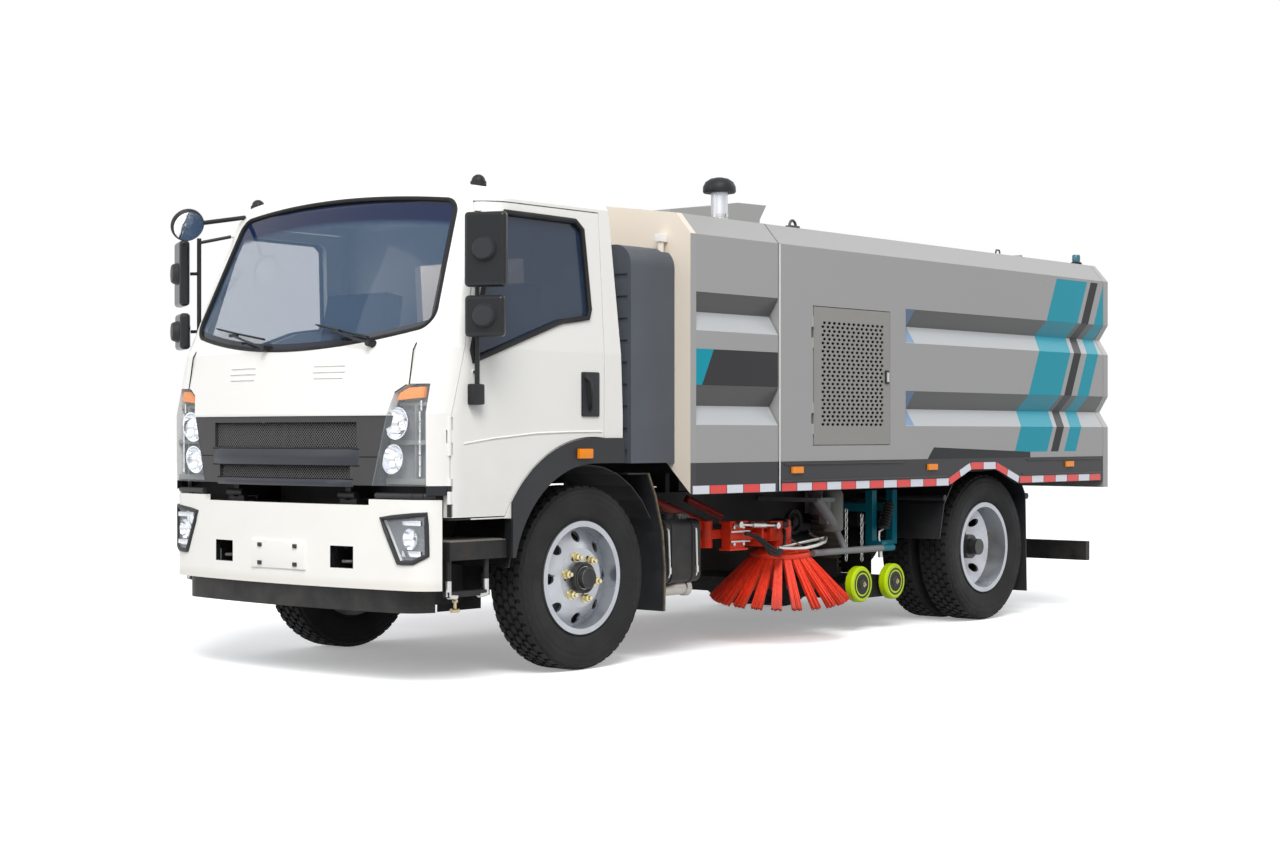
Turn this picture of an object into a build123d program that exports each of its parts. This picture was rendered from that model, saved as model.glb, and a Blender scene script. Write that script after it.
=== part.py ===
from build123d import *
import os
from collections import namedtuple
from math import atan2, cos, pi, radians, sin, sqrt, tan

# Street sweeper truck: tilting cab, power module, tipping hopper, two side brooms and a wide suction nozzle.
# Millimetres. X points forward, Y to the vehicle's left, Z up from the road, origin under the middle.

# Whole vehicle
overall_length = 6430.0
body_width = 2300.0
front_overhang = 1180.0
wheelbase = 3800.0
nose_x = overall_length / 2
tail_x = -overall_length / 2
body_half = body_width / 2
front_axle_x = nose_x - front_overhang
rear_axle_x = front_axle_x - wheelbase

# Clearances shared by all pieces
seat_gap = 0.3
run_gap = 6.0
overrun = 60.0

# Wheels
tyre_r = 470.0
tyre_w = 236.0
tread_w = 190.0
shoulder_drop = 14.0
sidewall_r = 395.0
bead_r = 300.0
rim_seat_r = 272.0
rim_inner_r = 260.0
flange_r = 289.0
flange_t = 10.0
rim_w = 200.0
disc_t = 14.0
face_r = 150.0
hub_r = 78.0
hub_cap_r = 52.0
stud_circle_r = 111.1
stud_hole_r = 12.0
stud_count = 6
hand_hole_r = 28.0
hand_hole_circle_r = 208.0
hand_hole_count = 8
drum_r = 195.0
spindle_r = 34.0
axle_tube_r = 58.0
axle_z = tyre_r
front_wheel_y = 870.0
rear_inner_y = 655.0
twin_spacing = 280.0
rear_outer_y = rear_inner_y + twin_spacing
twin_middle_y = rear_inner_y + twin_spacing / 2

# Ladder frame
rail_outer_y = 400.0
rail_flange = 68.0
rail_web_t = 9.0
rail_inner_y = rail_outer_y - rail_flange
rail_low_z = 640.0
rail_top_z = 865.0
rail_front_x = 3110.0
rail_rear_x = -2900.0

# Cab
cab_rear_x = 1805.0
cab_half = 1040.0
cab_low_z = 600.0
cab_top_z = 2500.0
cab_crown_z = 2490.0
cab_crown_r = 5160.0
cab_front_r = 5400.0
cab_corner_r = 180.0
cab_wall = 45.0
cab_length = nose_x - cab_rear_x
cab_height = cab_top_z - cab_low_z

# Door opening and wheel arch of the cab
door_front_x = 3029.0
door_rear_x = 1945.0
door_low_z = 800.0
door_kink_z = 1270.0
door_top_z = 2335.0
door_top_front_x = 2749.0
arch_r = 583.0
arch_trim_r = 712.0
arch_trim_t = 14.0
arch_rear_x = 1750.0

# Body behind the cab
module_front_x = 1386.0
split_x = 607.0
split_gap = 12.0
body_low_z = 880.0
skirt_top_z = 1048.0
body_inner_y = 1050.0
tailgate_t = 65.0
hopper_rear_x = tail_x + tailgate_t + run_gap
hopper_floor_z = 1010.0
floor_t = 20.0

# Tipping
tip_axis_x = -2975.0
tip_axis_z = 900.0

# Sweeping gear
broom_x = 171.0
broom_y = 830.0
broom_disc_z = 510.0
broom_disc_r = 177.0
broom_tip_z = 237.0
broom_tip_r = 398.0
broom_lean_deg = 5.0
broom_pivot_x = 825.0
broom_pivot_y = 800.0
nozzle_front_x = -525.0
nozzle_rear_x = -905.0
nozzle_half = 845.0
nozzle_low_z = 195.0
nozzle_top_z = 330.0
caster_r = 109.0
caster_w = 60.0
caster_y = 905.0
caster_z = 292.0


def block(x0, x1, y0, y1, z0, z1):
    """Box between two corners."""
    middle = Pos((x0 + x1) / 2, (y0 + y1) / 2, (z0 + z1) / 2)
    return middle * Box(abs(x1 - x0), abs(y1 - y0), abs(z1 - z0))


def rod(start, end, radius):
    """Round bar between two points."""
    start, end = Vector(*start), Vector(*end)
    return Part() + Solid.make_cylinder(radius, (end - start).length, Plane(origin=start, z_dir=end - start))


def pipe(start, end, radius, wall):
    """Tube between two points."""
    return rod(start, end, radius) - rod(start, end, radius - wall)


def side_face_prism(face, y0, y1):
    """Flat face in X and Z, drawn out along Y."""
    return extrude(Pos(0, y0, 0) * (Plane.XZ * face), amount=y1 - y0, dir=(0, 1, 0))


def side_prism(points, y0, y1):
    """Outline in X and Z, drawn out along Y."""
    return side_face_prism(Polygon(*points, align=None), y0, y1)


def front_face_prism(face, x0, x1):
    """Flat face in Y and Z, drawn out along X."""
    return extrude(Pos(x0, 0, 0) * (Plane.YZ * face), amount=x1 - x0, dir=(1, 0, 0))


def front_prism(points, x0, x1):
    """Outline in Y and Z, drawn out along X."""
    return front_face_prism(Polygon(*points, align=None), x0, x1)


def plan_prism(points, z0, z1):
    """Outline in X and Y, drawn out along Z."""
    return extrude(Pos(0, 0, z0) * Polygon(*points, align=None), amount=z1 - z0, dir=(0, 0, 1))


def closed(half_points):
    """Outline of one half and its mirror image, as one closed outline."""
    return half_points + [(-y, z) for y, z in reversed(half_points) if y != 0]


def other_side(shape):
    """Mirror image on the vehicle's other side."""
    return mirror(shape, about=Plane.XZ)


def both(shape):
    """The piece and its mirror image."""
    return Part() + shape + other_side(shape)


def turned(profile):
    """Solid of revolution about the Y axis, from an outline of radius and Y."""
    return revolve(Polygon(*profile, align=None), axis=Axis.Y)


# Hinges: barrels in line on one axis, each moving one between two fixed ones
Hinge = namedtuple("Hinge", "origin direction stations barrel_r barrel_length")


def hinge_barrels(hinge, side, grow_r, grow_end):
    """Barrels of one side of a hinge, grown by a clearance where they serve as cutters."""
    shape = Part()
    half = hinge.barrel_length / 2
    for station in hinge.stations:
        spans = [(station - half, station + half)]
        if side == "fixed":
            spans = [(station - 3 * half - seat_gap, station - half - seat_gap),
                     (station + half + seat_gap, station + 3 * half + seat_gap)]
        for low, high in spans:
            start = Vector(*hinge.origin) + Vector(*hinge.direction) * (low - grow_end)
            end = Vector(*hinge.origin) + Vector(*hinge.direction) * (high + grow_end)
            shape += rod(start, end, hinge.barrel_r + grow_r)
    return shape


def hinge_fixed(body, hinge):
    """Body with its own barrels, cleared round the moving ones."""
    return body - hinge_barrels(hinge, "moving", run_gap, seat_gap) + hinge_barrels(hinge, "fixed", 0, 0)


def hinge_moving(body, hinge):
    """Moving piece with its own barrels, cleared round the fixed ones."""
    return body - hinge_barrels(hinge, "fixed", run_gap, seat_gap) + hinge_barrels(hinge, "moving", 0, 0)


# Tyres and rims, each about the Y axis with its outer side towards +Y
def tyre(y):
    """One tyre with its tread middle at y."""
    half = tyre_w / 2
    seat_y = rim_w / 2 - flange_t - seat_gap
    right = [(rim_seat_r + seat_gap, seat_y), (bead_r, seat_y), (sidewall_r, half),
             (tyre_r - shoulder_drop, tread_w / 2 + shoulder_drop), (tyre_r, tread_w / 2)]
    outline = right + [(r, -v) for r, v in reversed(right)]
    return Pos(0, y, 0) * turned(outline)


def rim_barrel(y):
    """Rim without its disc."""
    edge = rim_w / 2
    lip = edge - flange_t
    outline = [(rim_seat_r, -lip), (flange_r, -lip), (flange_r, -edge), (rim_inner_r, -edge),
               (rim_inner_r, edge), (flange_r, edge), (flange_r, lip), (rim_seat_r, lip)]
    return Pos(0, y, 0) * turned(outline)


def rim_disc(edge_y, face_y):
    """Dished disc from the rim to the hub face, with hand holes and stud holes."""
    outline = [(rim_inner_r + seat_gap, edge_y), (face_r, face_y), (0, face_y),
               (0, face_y - disc_t), (face_r, face_y - disc_t), (rim_inner_r + seat_gap, edge_y - disc_t)]
    shape = turned(outline)
    low, high = min(edge_y, face_y) - overrun, max(edge_y, face_y) + overrun
    holes = [(hand_hole_circle_r, hand_hole_count, hand_hole_r), (stud_circle_r, stud_count, stud_hole_r)]
    for circle_r, count, hole_r in holes:
        for place in PolarLocations(circle_r, count):
            x, z = place.position.X, place.position.Y
            shape -= rod((x, low, z), (x, high, z), hole_r)
    return shape


front_edge_share = 0.1
front_face_share = 0.42
rear_edge_share = -0.15
hub_reach = 62.0
drum_w = 78.0
drum_gap = 24.0


def front_rim():
    """Front wheel: disc dished outwards, hub with its cap and brake drum."""
    y = front_wheel_y
    face_y = y + rim_w * front_face_share
    drum_y0 = y - drum_w
    shape = rim_barrel(y) + rim_disc(y + rim_w * front_edge_share, face_y)
    shape += rod((0, drum_y0, 0), (0, y, 0), drum_r)
    shape += rod((0, y, 0), (0, face_y + hub_reach / 2, 0), hub_r)
    shape += rod((0, face_y, 0), (0, face_y + hub_reach, 0), hub_cap_r)
    shape -= rod((0, drum_y0 - overrun, 0), (0, y + spindle_r, 0), spindle_r + seat_gap)
    return Pos(front_axle_x, 0, axle_z) * shape


def rear_rims():
    """Twin rims back to back on one hub, with the brake drum inside the inner one."""
    outer_edge = rear_outer_y + rim_w * rear_edge_share
    shape = rim_barrel(rear_outer_y) + rim_disc(outer_edge, twin_middle_y + disc_t)
    inner = rim_disc(outer_edge, twin_middle_y + disc_t)
    shape += rim_barrel(rear_inner_y) + mirror(inner, about=Plane.XZ.offset(-twin_middle_y))
    shape += rod((0, rear_inner_y, 0), (0, rear_outer_y, 0), hub_r)
    shape += rod((0, rear_outer_y, 0), (0, rear_outer_y + hub_reach, 0), hub_cap_r)
    drum_y0 = rear_inner_y - rim_w / 2
    shape += rod((0, drum_y0, 0), (0, rear_inner_y + drum_w, 0), drum_r)
    shape -= rod((0, drum_y0 - overrun, 0), (0, rear_inner_y + drum_w / 2, 0), axle_tube_r + seat_gap)
    return Pos(rear_axle_x, 0, axle_z) * shape


def front_tyre():
    return Pos(front_axle_x, 0, axle_z) * tyre(front_wheel_y)


def rear_tyres():
    return Pos(rear_axle_x, 0, axle_z) * (Part() + tyre(rear_inner_y) + tyre(rear_outer_y))


# Cab body as plan sections from its sill to its roof
CabSection = namedtuple("CabSection", "height_share nose_share rear_share half_share bow_share")
cab_section_shares = [
    CabSection(0.000, 0.002, 0.000, 0.995, 1.00),
    CabSection(0.368, 0.000, 0.000, 1.000, 1.00),
    CabSection(0.533, 0.036, 0.010, 1.000, 0.80),
    CabSection(0.921, 0.264, 0.046, 0.959, 0.80),
    CabSection(0.961, 0.302, 0.067, 0.918, 0.80),
    CabSection(1.000, 0.365, 0.110, 0.837, 0.80),
]


def bowed_plan(rear, nose, half, front_r, corner_r, z):
    """Outline seen from above: square back, rounded front corners, bowed front."""
    bow_x = nose - front_r
    corner_y = half - corner_r
    corner_x = bow_x + sqrt((front_r - corner_r) ** 2 - corner_y ** 2)
    reach = front_r / (front_r - corner_r)
    join = (bow_x + (corner_x - bow_x) * reach, corner_y * reach)
    turn = (atan2(join[1] - corner_y, join[0] - corner_x) + pi / 2) / 2
    middle = (corner_x + corner_r * cos(turn), corner_y + corner_r * sin(turn))
    edges = [Line((rear, -half), (rear, half)), Line((rear, half), (corner_x, half)),
             ThreePointArc((corner_x, half), middle, join),
             ThreePointArc(join, (nose, 0), (join[0], -join[1])),
             ThreePointArc((join[0], -join[1]), (middle[0], -middle[1]), (corner_x, -half)),
             Line((corner_x, -half), (rear, -half))]
    return Pos(0, 0, z) * make_face(edges)


def crown_prism(inset):
    """Everything below the arched roof line."""
    edge_drop = cab_crown_r - sqrt(cab_crown_r ** 2 - body_half ** 2)
    top = cab_crown_z - inset
    corners = [(body_half, top - edge_drop), (body_half, 0), (-body_half, 0), (-body_half, top - edge_drop)]
    edges = [Line(corners[0], corners[1]), Line(corners[1], corners[2]), Line(corners[2], corners[3]),
             ThreePointArc(corners[3], (0, top), corners[0])]
    return front_face_prism(make_face(edges), cab_rear_x - overrun, nose_x + overrun)


def cab_body(inset):
    """Solid cab form, drawn in from its outer surface by the inset."""
    sections = []
    for section in cab_section_shares:
        sections.append(bowed_plan(
            cab_rear_x + cab_length * section.rear_share + inset,
            nose_x - cab_length * section.nose_share - inset,
            cab_half * section.half_share - inset,
            cab_front_r * section.bow_share - inset,
            cab_corner_r - inset,
            cab_low_z + cab_height * section.height_share))
    return loft(sections, ruled=True) & crown_prism(inset)


cab_outer = cab_body(0)
cab_inner = cab_body(cab_wall)
cab_skin = cab_outer - cab_inner

# Cab front outlines in Y and Z, right half first
grille_top = (735.0, 1290.0)
grille_low = (645.0, 955.0)
lamp_brow = (766.0, 1400.0)
lamp_top = (830.0, 1436.0)
lamp_outer_y = 955.0
lamp_outer_z = 1440.0
flap_y = 843.0
flap_side_z = 1640.0
flap_middle_z = 1604.0
glass_seal = 14.0
glass_low_y = 905.0
glass_low_z = 1722.0
glass_top_y = 815.0
glass_top_z = 2342.0
glass_crown_z = 2388.0
glass_corner_r = 85.0
front_depth = 600.0

grille_outline = closed([(0, grille_top[1]), grille_top, grille_low, (0, grille_low[1])])
lamp_outline = [grille_low, grille_top, lamp_brow, lamp_top, (flap_y, lamp_top[1]), (lamp_outer_y, lamp_outer_z),
                (lamp_outer_y, grille_low[1])]
flap_outline = closed([(0, flap_middle_z), (flap_y, flap_side_z), (flap_y, lamp_top[1]), lamp_top, lamp_brow,
                       grille_top, (0, grille_top[1])])
front_opening = closed([(0, flap_middle_z + seat_gap), (flap_y + seat_gap, flap_side_z + seat_gap),
                        (flap_y + seat_gap, lamp_outer_z + seat_gap),
                        (lamp_outer_y + seat_gap, lamp_outer_z + seat_gap),
                        (lamp_outer_y + seat_gap, cab_low_z - overrun), (0, cab_low_z - overrun)])


def glass_face(inset):
    """Windscreen outline, drawn in by the inset."""
    low = (glass_low_y - inset, glass_low_z + inset)
    top = (glass_top_y - inset, glass_top_z - inset)
    middle_low = (0, flap_middle_z + glass_seal + inset)
    middle_top = (0, glass_crown_z - inset)
    face = make_face([ThreePointArc((-low[0], low[1]), middle_low, low), Line(low, top),
                      ThreePointArc(top, middle_top, (-top[0], top[1])), Line((-top[0], top[1]), (-low[0], low[1]))])
    return fillet(face.vertices(), glass_corner_r - inset)


def front_piece(outline, inset_out, inset_in):
    """Piece of the cab's front between two insets."""
    layer = cab_body(inset_out) - cab_body(inset_in)
    return layer & front_prism(outline, nose_x - front_depth, nose_x + overrun)


# Cab side outlines in X and Z
window_points = [(2680.0, 2282.0), (2082.0, 2276.0), (2045.0, 1792.0), (2268.0, 1762.0), (2565.0, 1661.0),
                 (2916.0, 1539.0)]
window_corner_r = 45.0
door_glass_inset = 14.0
door_glass_t = 5.0


def door_face(gap):
    """Door outline, drawn in by the gap all round."""
    outline = Polygon((door_front_x - gap, door_low_z + gap), (door_front_x - gap, door_kink_z),
                      (door_top_front_x - gap, door_top_z - gap), (door_rear_x + gap, door_top_z - gap),
                      (door_rear_x + gap, door_low_z + gap), align=None)
    return outline - Pos(front_axle_x, axle_z) * Circle(arch_trim_r + gap)


def window_face(gap):
    """Door window outline, drawn in by the gap."""
    outline = Polygon(*window_points, align=None)
    face = fillet(outline.vertices(), window_corner_r)
    return offset(face, amount=-gap) if gap else face


door_axis_y = 1024.0
door_barrel_r = 11.0
door_barrel_length = 60.0
door_hinge = Hinge((door_front_x, door_axis_y, 0), (0, 0, 1), (900.0, 1190.0), door_barrel_r, door_barrel_length)
other_door_hinge = Hinge((door_front_x, -door_axis_y, 0), (0, 0, 1), (900.0, 1190.0), door_barrel_r,
                         door_barrel_length)
rear_window_half = 420.0
rear_window_low_z = 1680.0
rear_window_high_z = 2140.0
rocker_z = 794.0
corner_low_z = 912.0
door_inner_y = 870.0
rocker_x = 2625.0
panel_seam_y = 800.0
panel_seam_z = 2330.0


def cab_shell():
    """Cab sides, pillars, roof and rear wall, parted at their seams."""
    shape = cab_skin
    shape -= both(side_face_prism(door_face(0), door_inner_y, body_half))
    shape -= block(door_front_x, nose_x + overrun, -body_half, body_half, 0, corner_low_z)
    shape -= front_prism(front_opening, nose_x - front_depth, nose_x + overrun)
    shape -= front_face_prism(glass_face(0), nose_x - front_depth, nose_x + overrun)
    shape -= rod((front_axle_x, -body_half, axle_z), (front_axle_x, body_half, axle_z), arch_r)
    shape -= block(cab_rear_x - overrun, front_axle_x, -body_half, body_half, 0, axle_z + arch_r)
    shape -= block(rocker_x, nose_x + overrun, -body_half, body_half, 0, rocker_z)
    shape -= block(cab_rear_x - overrun, cab_rear_x + cab_length / 4, -rear_window_half, rear_window_half,
                   rear_window_low_z, rear_window_high_z)
    shape -= both(block(cab_rear_x - overrun, nose_x + overrun, panel_seam_y, panel_seam_y + seat_gap, 0, cab_top_z))
    shape -= block(cab_rear_x - overrun, front_axle_x, -panel_seam_y, panel_seam_y, panel_seam_z,
                   panel_seam_z + seat_gap)
    shape = hinge_fixed(shape, door_hinge)
    return hinge_fixed(shape, other_door_hinge)


def arch_trims():
    """Dark wheel arch trims on the cab's sides."""
    ring = Pos(front_axle_x, axle_z) * (Circle(arch_trim_r) - Circle(arch_r))
    front = ring & Pos(front_axle_x + arch_trim_r, axle_z + arch_trim_r) * Rectangle(2 * arch_trim_r, 2 * arch_trim_r)
    rear_length = front_axle_x - arch_rear_x
    rear = Pos(front_axle_x - rear_length / 2, axle_z + (arch_r + arch_trim_r) / 2) * Rectangle(
        rear_length, arch_trim_r - arch_r)
    prism = side_face_prism(front + rear, cab_half - overrun, body_half)
    layer = cab_body(-arch_trim_t) - cab_body(-seat_gap)
    trim = layer & prism & block(cab_rear_x, rocker_x, cab_half - overrun, body_half, 0, cab_top_z)
    return both(trim)


def cab_door():
    """Left door with its window opening."""
    shape = cab_skin & side_face_prism(door_face(run_gap), door_inner_y, body_half)
    shape -= side_face_prism(window_face(0), cab_half / 2, body_half)
    return hinge_moving(shape, door_hinge)


def door_glass():
    """Pane of the left door."""
    layer = cab_body(door_glass_inset) - cab_body(door_glass_inset + door_glass_t)
    return layer & side_face_prism(window_face(seat_gap), cab_half / 2, body_half)


windscreen_inset = 8.0
windscreen_t = 7.0


def windscreen():
    layer = cab_body(windscreen_inset) - cab_body(windscreen_inset + windscreen_t)
    return layer & front_face_prism(glass_face(seat_gap), nose_x - front_depth, nose_x + overrun)


grille_inset = 5.0
grille_depth = 45.0
grille_bar_z = (1053.0, 1135.0)
grille_upper_z = 1259.0
grille_lower_z = 975.0
grille_side_share = 0.74
grille_low_share = 0.68
mesh_back = 34.0
mesh_t = 5.0
mesh_bar = 7.0
mesh_rows = 3
mesh_columns = 15


def grille():
    """Grille frame with two openings and a mesh set back in each."""
    shape = front_piece(grille_outline, grille_inset, grille_depth)
    mesh_x = nose_x - mesh_back - mesh_t
    mesh = Part()
    for low, high in ((grille_lower_z, grille_bar_z[0]), (grille_bar_z[1], grille_upper_z)):
        half = grille_top[0] * (grille_side_share if high == grille_upper_z else grille_low_share)
        opening = front_prism([(-half, low), (half, low), (half, high), (-half, high)],
                              nose_x - front_depth, nose_x + overrun)
        shape -= opening
        for row in range(mesh_rows):
            z = low + (high - low) * (row + 1) / (mesh_rows + 1)
            mesh += block(nose_x - front_depth, nose_x, -half, half, z - mesh_bar / 2, z + mesh_bar / 2)
        for column in range(mesh_columns):
            y = -half + 2 * half * (column + 1) / (mesh_columns + 1)
            mesh += block(nose_x - front_depth, nose_x, y - mesh_bar / 2, y + mesh_bar / 2, low, high)
    layer = cab_body(mesh_back) - cab_body(mesh_back + mesh_t)
    return shape + (layer & mesh)


# Cab inside
deck_z = 1110.0
deck_t = 30.0
tunnel_half = 410.0
tunnel_wall = 20.0
toe_x = 2985.0
toe_t = 25.0
toe_top_z = 1290.0
tilt_axis_x = 3135.0
tilt_axis_z = 905.0
tilt_barrel_r = 18.0
tilt_barrel_length = 40.0
tilt_station = tunnel_half + tilt_barrel_length / 2
tilt_hinge = Hinge((tilt_axis_x, 0, tilt_axis_z), (0, 1, 0), (-tilt_station, tilt_station), tilt_barrel_r,
                   tilt_barrel_length)
tilt_lug_top_z = 960.0
floor_half = door_axis_y - cab_wall - 2 * run_gap


def cab_floor():
    """Deck over the wheels, footwells, engine tunnel, toe boards and the lugs of the tilt hinge."""
    inside = cab_body(cab_wall + seat_gap)
    side_y = tunnel_half + tunnel_wall
    shape = block(cab_rear_x, toe_x + toe_t, -cab_half, cab_half, deck_z, deck_z + deck_t)
    shape -= both(block(rocker_x + toe_t, toe_x, side_y, cab_half, 0, cab_top_z))
    for side in (1, -1):
        shape += block(rocker_x, toe_x, side * tunnel_half, side * cab_half, door_low_z, door_low_z + deck_t)
        shape += block(rocker_x, rocker_x + toe_t, side * tunnel_half, side * cab_half, door_low_z, deck_z)
        shape += block(rocker_x, toe_x, side * tunnel_half, side * side_y, door_low_z, deck_z)
        shape += block(toe_x, toe_x + toe_t, side * tunnel_half, side * cab_half, door_low_z, toe_top_z)
    shape = shape & inside & block(cab_rear_x, nose_x, -floor_half, floor_half, 0, cab_top_z)
    lug_y0 = tilt_station - tilt_barrel_length / 2
    lug_y1 = tilt_station + tilt_barrel_length / 2
    shape += both(block(toe_x, tilt_axis_x, lug_y0, lug_y1, tilt_axis_z - tilt_barrel_r, tilt_lug_top_z))
    return hinge_moving(shape, tilt_hinge)


seat_x = 2170.0
seat_y = 520.0
seat_w = 480.0
seat_length = 540.0
seat_height = 830.0
seat_corner_r = 25.0
seat_shares = [(0.22, 0.0), (0.85, 0.0), (1.0, 0.22), (0.98, 0.36), (0.36, 0.30), (0.12, 1.0), (-0.10, 0.98),
               (0.08, 0.24)]


def seats():
    """Two seats on the deck."""
    points = [(seat_x + seat_length * u, deck_z + deck_t + seat_gap + seat_height * v) for u, v in seat_shares]
    shape = side_prism(points, seat_y - seat_w / 2, seat_y + seat_w / 2)
    return both(shape)


dash_rear_x = 2800.0
dash_half = 930.0
dash_top_z = 1560.0
dash_lip_z = 1500.0
wheel_centre = (2735.0, 520.0, 1585.0)
steering_wheel_r = 205.0
steering_rim_r = 14.0
column_r = 26.0
column_tilt_deg = 28.0


def dashboard():
    """Dashboard across the cab, bored for the steering column."""
    front_x = toe_x + toe_t
    points = [(front_x, toe_top_z + seat_gap), (front_x, dash_top_z), (dash_rear_x + toe_t, dash_top_z),
              (dash_rear_x, dash_lip_z), (dash_rear_x + 2 * toe_t, toe_top_z + seat_gap)]
    shape = side_prism(points, -dash_half, dash_half) & cab_body(cab_wall + seat_gap)
    return shape - steering(seat_gap)


def steering(gap):
    """Steering wheel on its column, grown by the gap."""
    tilt = radians(column_tilt_deg)
    lean = (-sin(tilt), 0, cos(tilt))
    plane = Plane(origin=wheel_centre, z_dir=lean)
    wheel = Torus(steering_wheel_r, steering_rim_r + gap)
    wheel += Box(2 * steering_wheel_r, 2 * column_r, steering_rim_r)
    wheel += Cylinder(2 * column_r + gap, 2 * (steering_rim_r + gap))
    foot = Vector(*wheel_centre) - Vector(*lean) * (steering_wheel_r + gap)
    return plane * wheel + rod(foot, wheel_centre, column_r + gap)


def cab_front_panel():
    return front_piece(flap_outline, 0, grille_depth)


lamp_rear_x = 3062.0


def headlamps():
    lamp = front_piece(lamp_outline, 0, grille_depth + cab_wall)
    return both(lamp & block(lamp_rear_x, nose_x + overrun, 0, body_half, 0, cab_top_z))


# Mirrors on the doors
mirror_tube_x = 2886.0
mirror_tube_y = 1066.0
mirror_tube_r = 12.0
mirror_stay_r = 9.0
mirror_low_z = 1400.0
mirror_high_z = 2262.0
MirrorHead = namedtuple("MirrorHead", "x y z width height toe_deg")
mirror_heads = [MirrorHead(2925.0, 1165.0, 2071.0, 205.0, 354.0, 28.0),
                MirrorHead(2925.0, 1160.0, 1757.0, 195.0, 196.0, 28.0)]
mirror_head_t = 55.0
mirror_head_corner_r = 20.0
mirror_bracket = (2735.0, 940.0, 2280.0)


def mirror_set():
    """Left door mirror: tube, brackets and two heads."""
    top = (mirror_tube_x, mirror_tube_y, mirror_high_z)
    low = (mirror_tube_x, mirror_tube_y, mirror_low_z)
    shape = rod(low, top, mirror_tube_r)
    for z in (mirror_low_z + 2 * mirror_tube_r, mirror_low_z + 8 * mirror_tube_r):
        shape += rod((mirror_tube_x, cab_half - cab_wall, z), (mirror_tube_x, mirror_tube_y, z), mirror_stay_r)
    elbow = (mirror_tube_x, mirror_tube_y, mirror_high_z - 2 * mirror_tube_r)
    shape += rod(mirror_bracket, elbow, mirror_stay_r)
    for head in mirror_heads:
        body = Box(mirror_head_t, head.width, head.height)
        body = fillet(body.edges(), mirror_head_corner_r)
        shape += Pos(head.x, head.y, head.z) * Rot(0, 0, head.toe_deg) * body
        shape += rod((mirror_tube_x, mirror_tube_y, head.z), (head.x, head.y, head.z), mirror_stay_r)
    return shape - cab_body(-seat_gap)


front_mirror_place = (3070.0, -925.0, 2312.0)
front_mirror_r = 90.0
front_mirror_t = 40.0
front_mirror_foot = (2745.0, -850.0, 2372.0)
front_mirror_axis = (0.25, 0.85, -0.45)


def front_mirror():
    """Round mirror ahead of the right corner of the roof."""
    shape = rod(front_mirror_foot, front_mirror_place, mirror_tube_r)
    plane = Plane(origin=front_mirror_place, z_dir=front_mirror_axis)
    dome = Cylinder(front_mirror_r, front_mirror_t)
    dome = chamfer(dome.edges(), front_mirror_t / 3)
    return shape + plane * dome - cab_body(-seat_gap)


# Ladder frame
cross_members = [(3040.0, 3100.0), (1290.0, 1345.0), (540.0, 600.0), (-560.0, -500.0), (-2150.0, -2090.0),
                 (-2890.0, -2830.0)]
cross_low_z = 700.0
cross_high_z = 840.0
module_wall_t = 46.0
module_arm_w = 36.0
module_arms = [module_front_x - module_wall_t - seat_gap - module_arm_w, split_x + 1.5 * module_arm_w]
arm_low_z = 990.0
arm_half = 1118.0
hanger_w = 50.0
front_spring_y0 = 375.0
front_spring_y1 = 445.0
rear_spring_y0 = 430.0
rear_spring_y1 = 500.0
front_spring_half = 600.0
rear_spring_half = 620.0
hanger_low_z = 560.0
hanger_high_z = 700.0
rear_hanger_low_z = 610.0
rear_hanger_high_z = 760.0
cab_post_x = 1872.0
tip_station = 365.0
tip_barrel_r = 22.0
tip_barrel_length = 40.0
tip_lug_half = 17.0
tip_hinge = Hinge((tip_axis_x, 0, tip_axis_z), (0, 1, 0), (-tip_station, tip_station), tip_barrel_r,
                  tip_barrel_length)
tip_lug_low_z = cross_high_z + seat_gap
ram_foot_x = -2000.0
ram_foot_z = 700.0
ram_lug_y = 62.0
ram_lug_t = 20.0


def rail(grow):
    """One C-section rail, open towards the middle, thicker all round by a clearance."""
    wall = rail_web_t + grow
    outer = block(rail_rear_x - grow, rail_front_x + grow, rail_inner_y - grow, rail_outer_y + grow,
                  rail_low_z - grow, rail_top_z + grow)
    return outer - block(rail_rear_x - overrun, rail_front_x + overrun, rail_inner_y - overrun,
                         rail_outer_y - wall, rail_low_z + wall, rail_top_z - wall)


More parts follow.
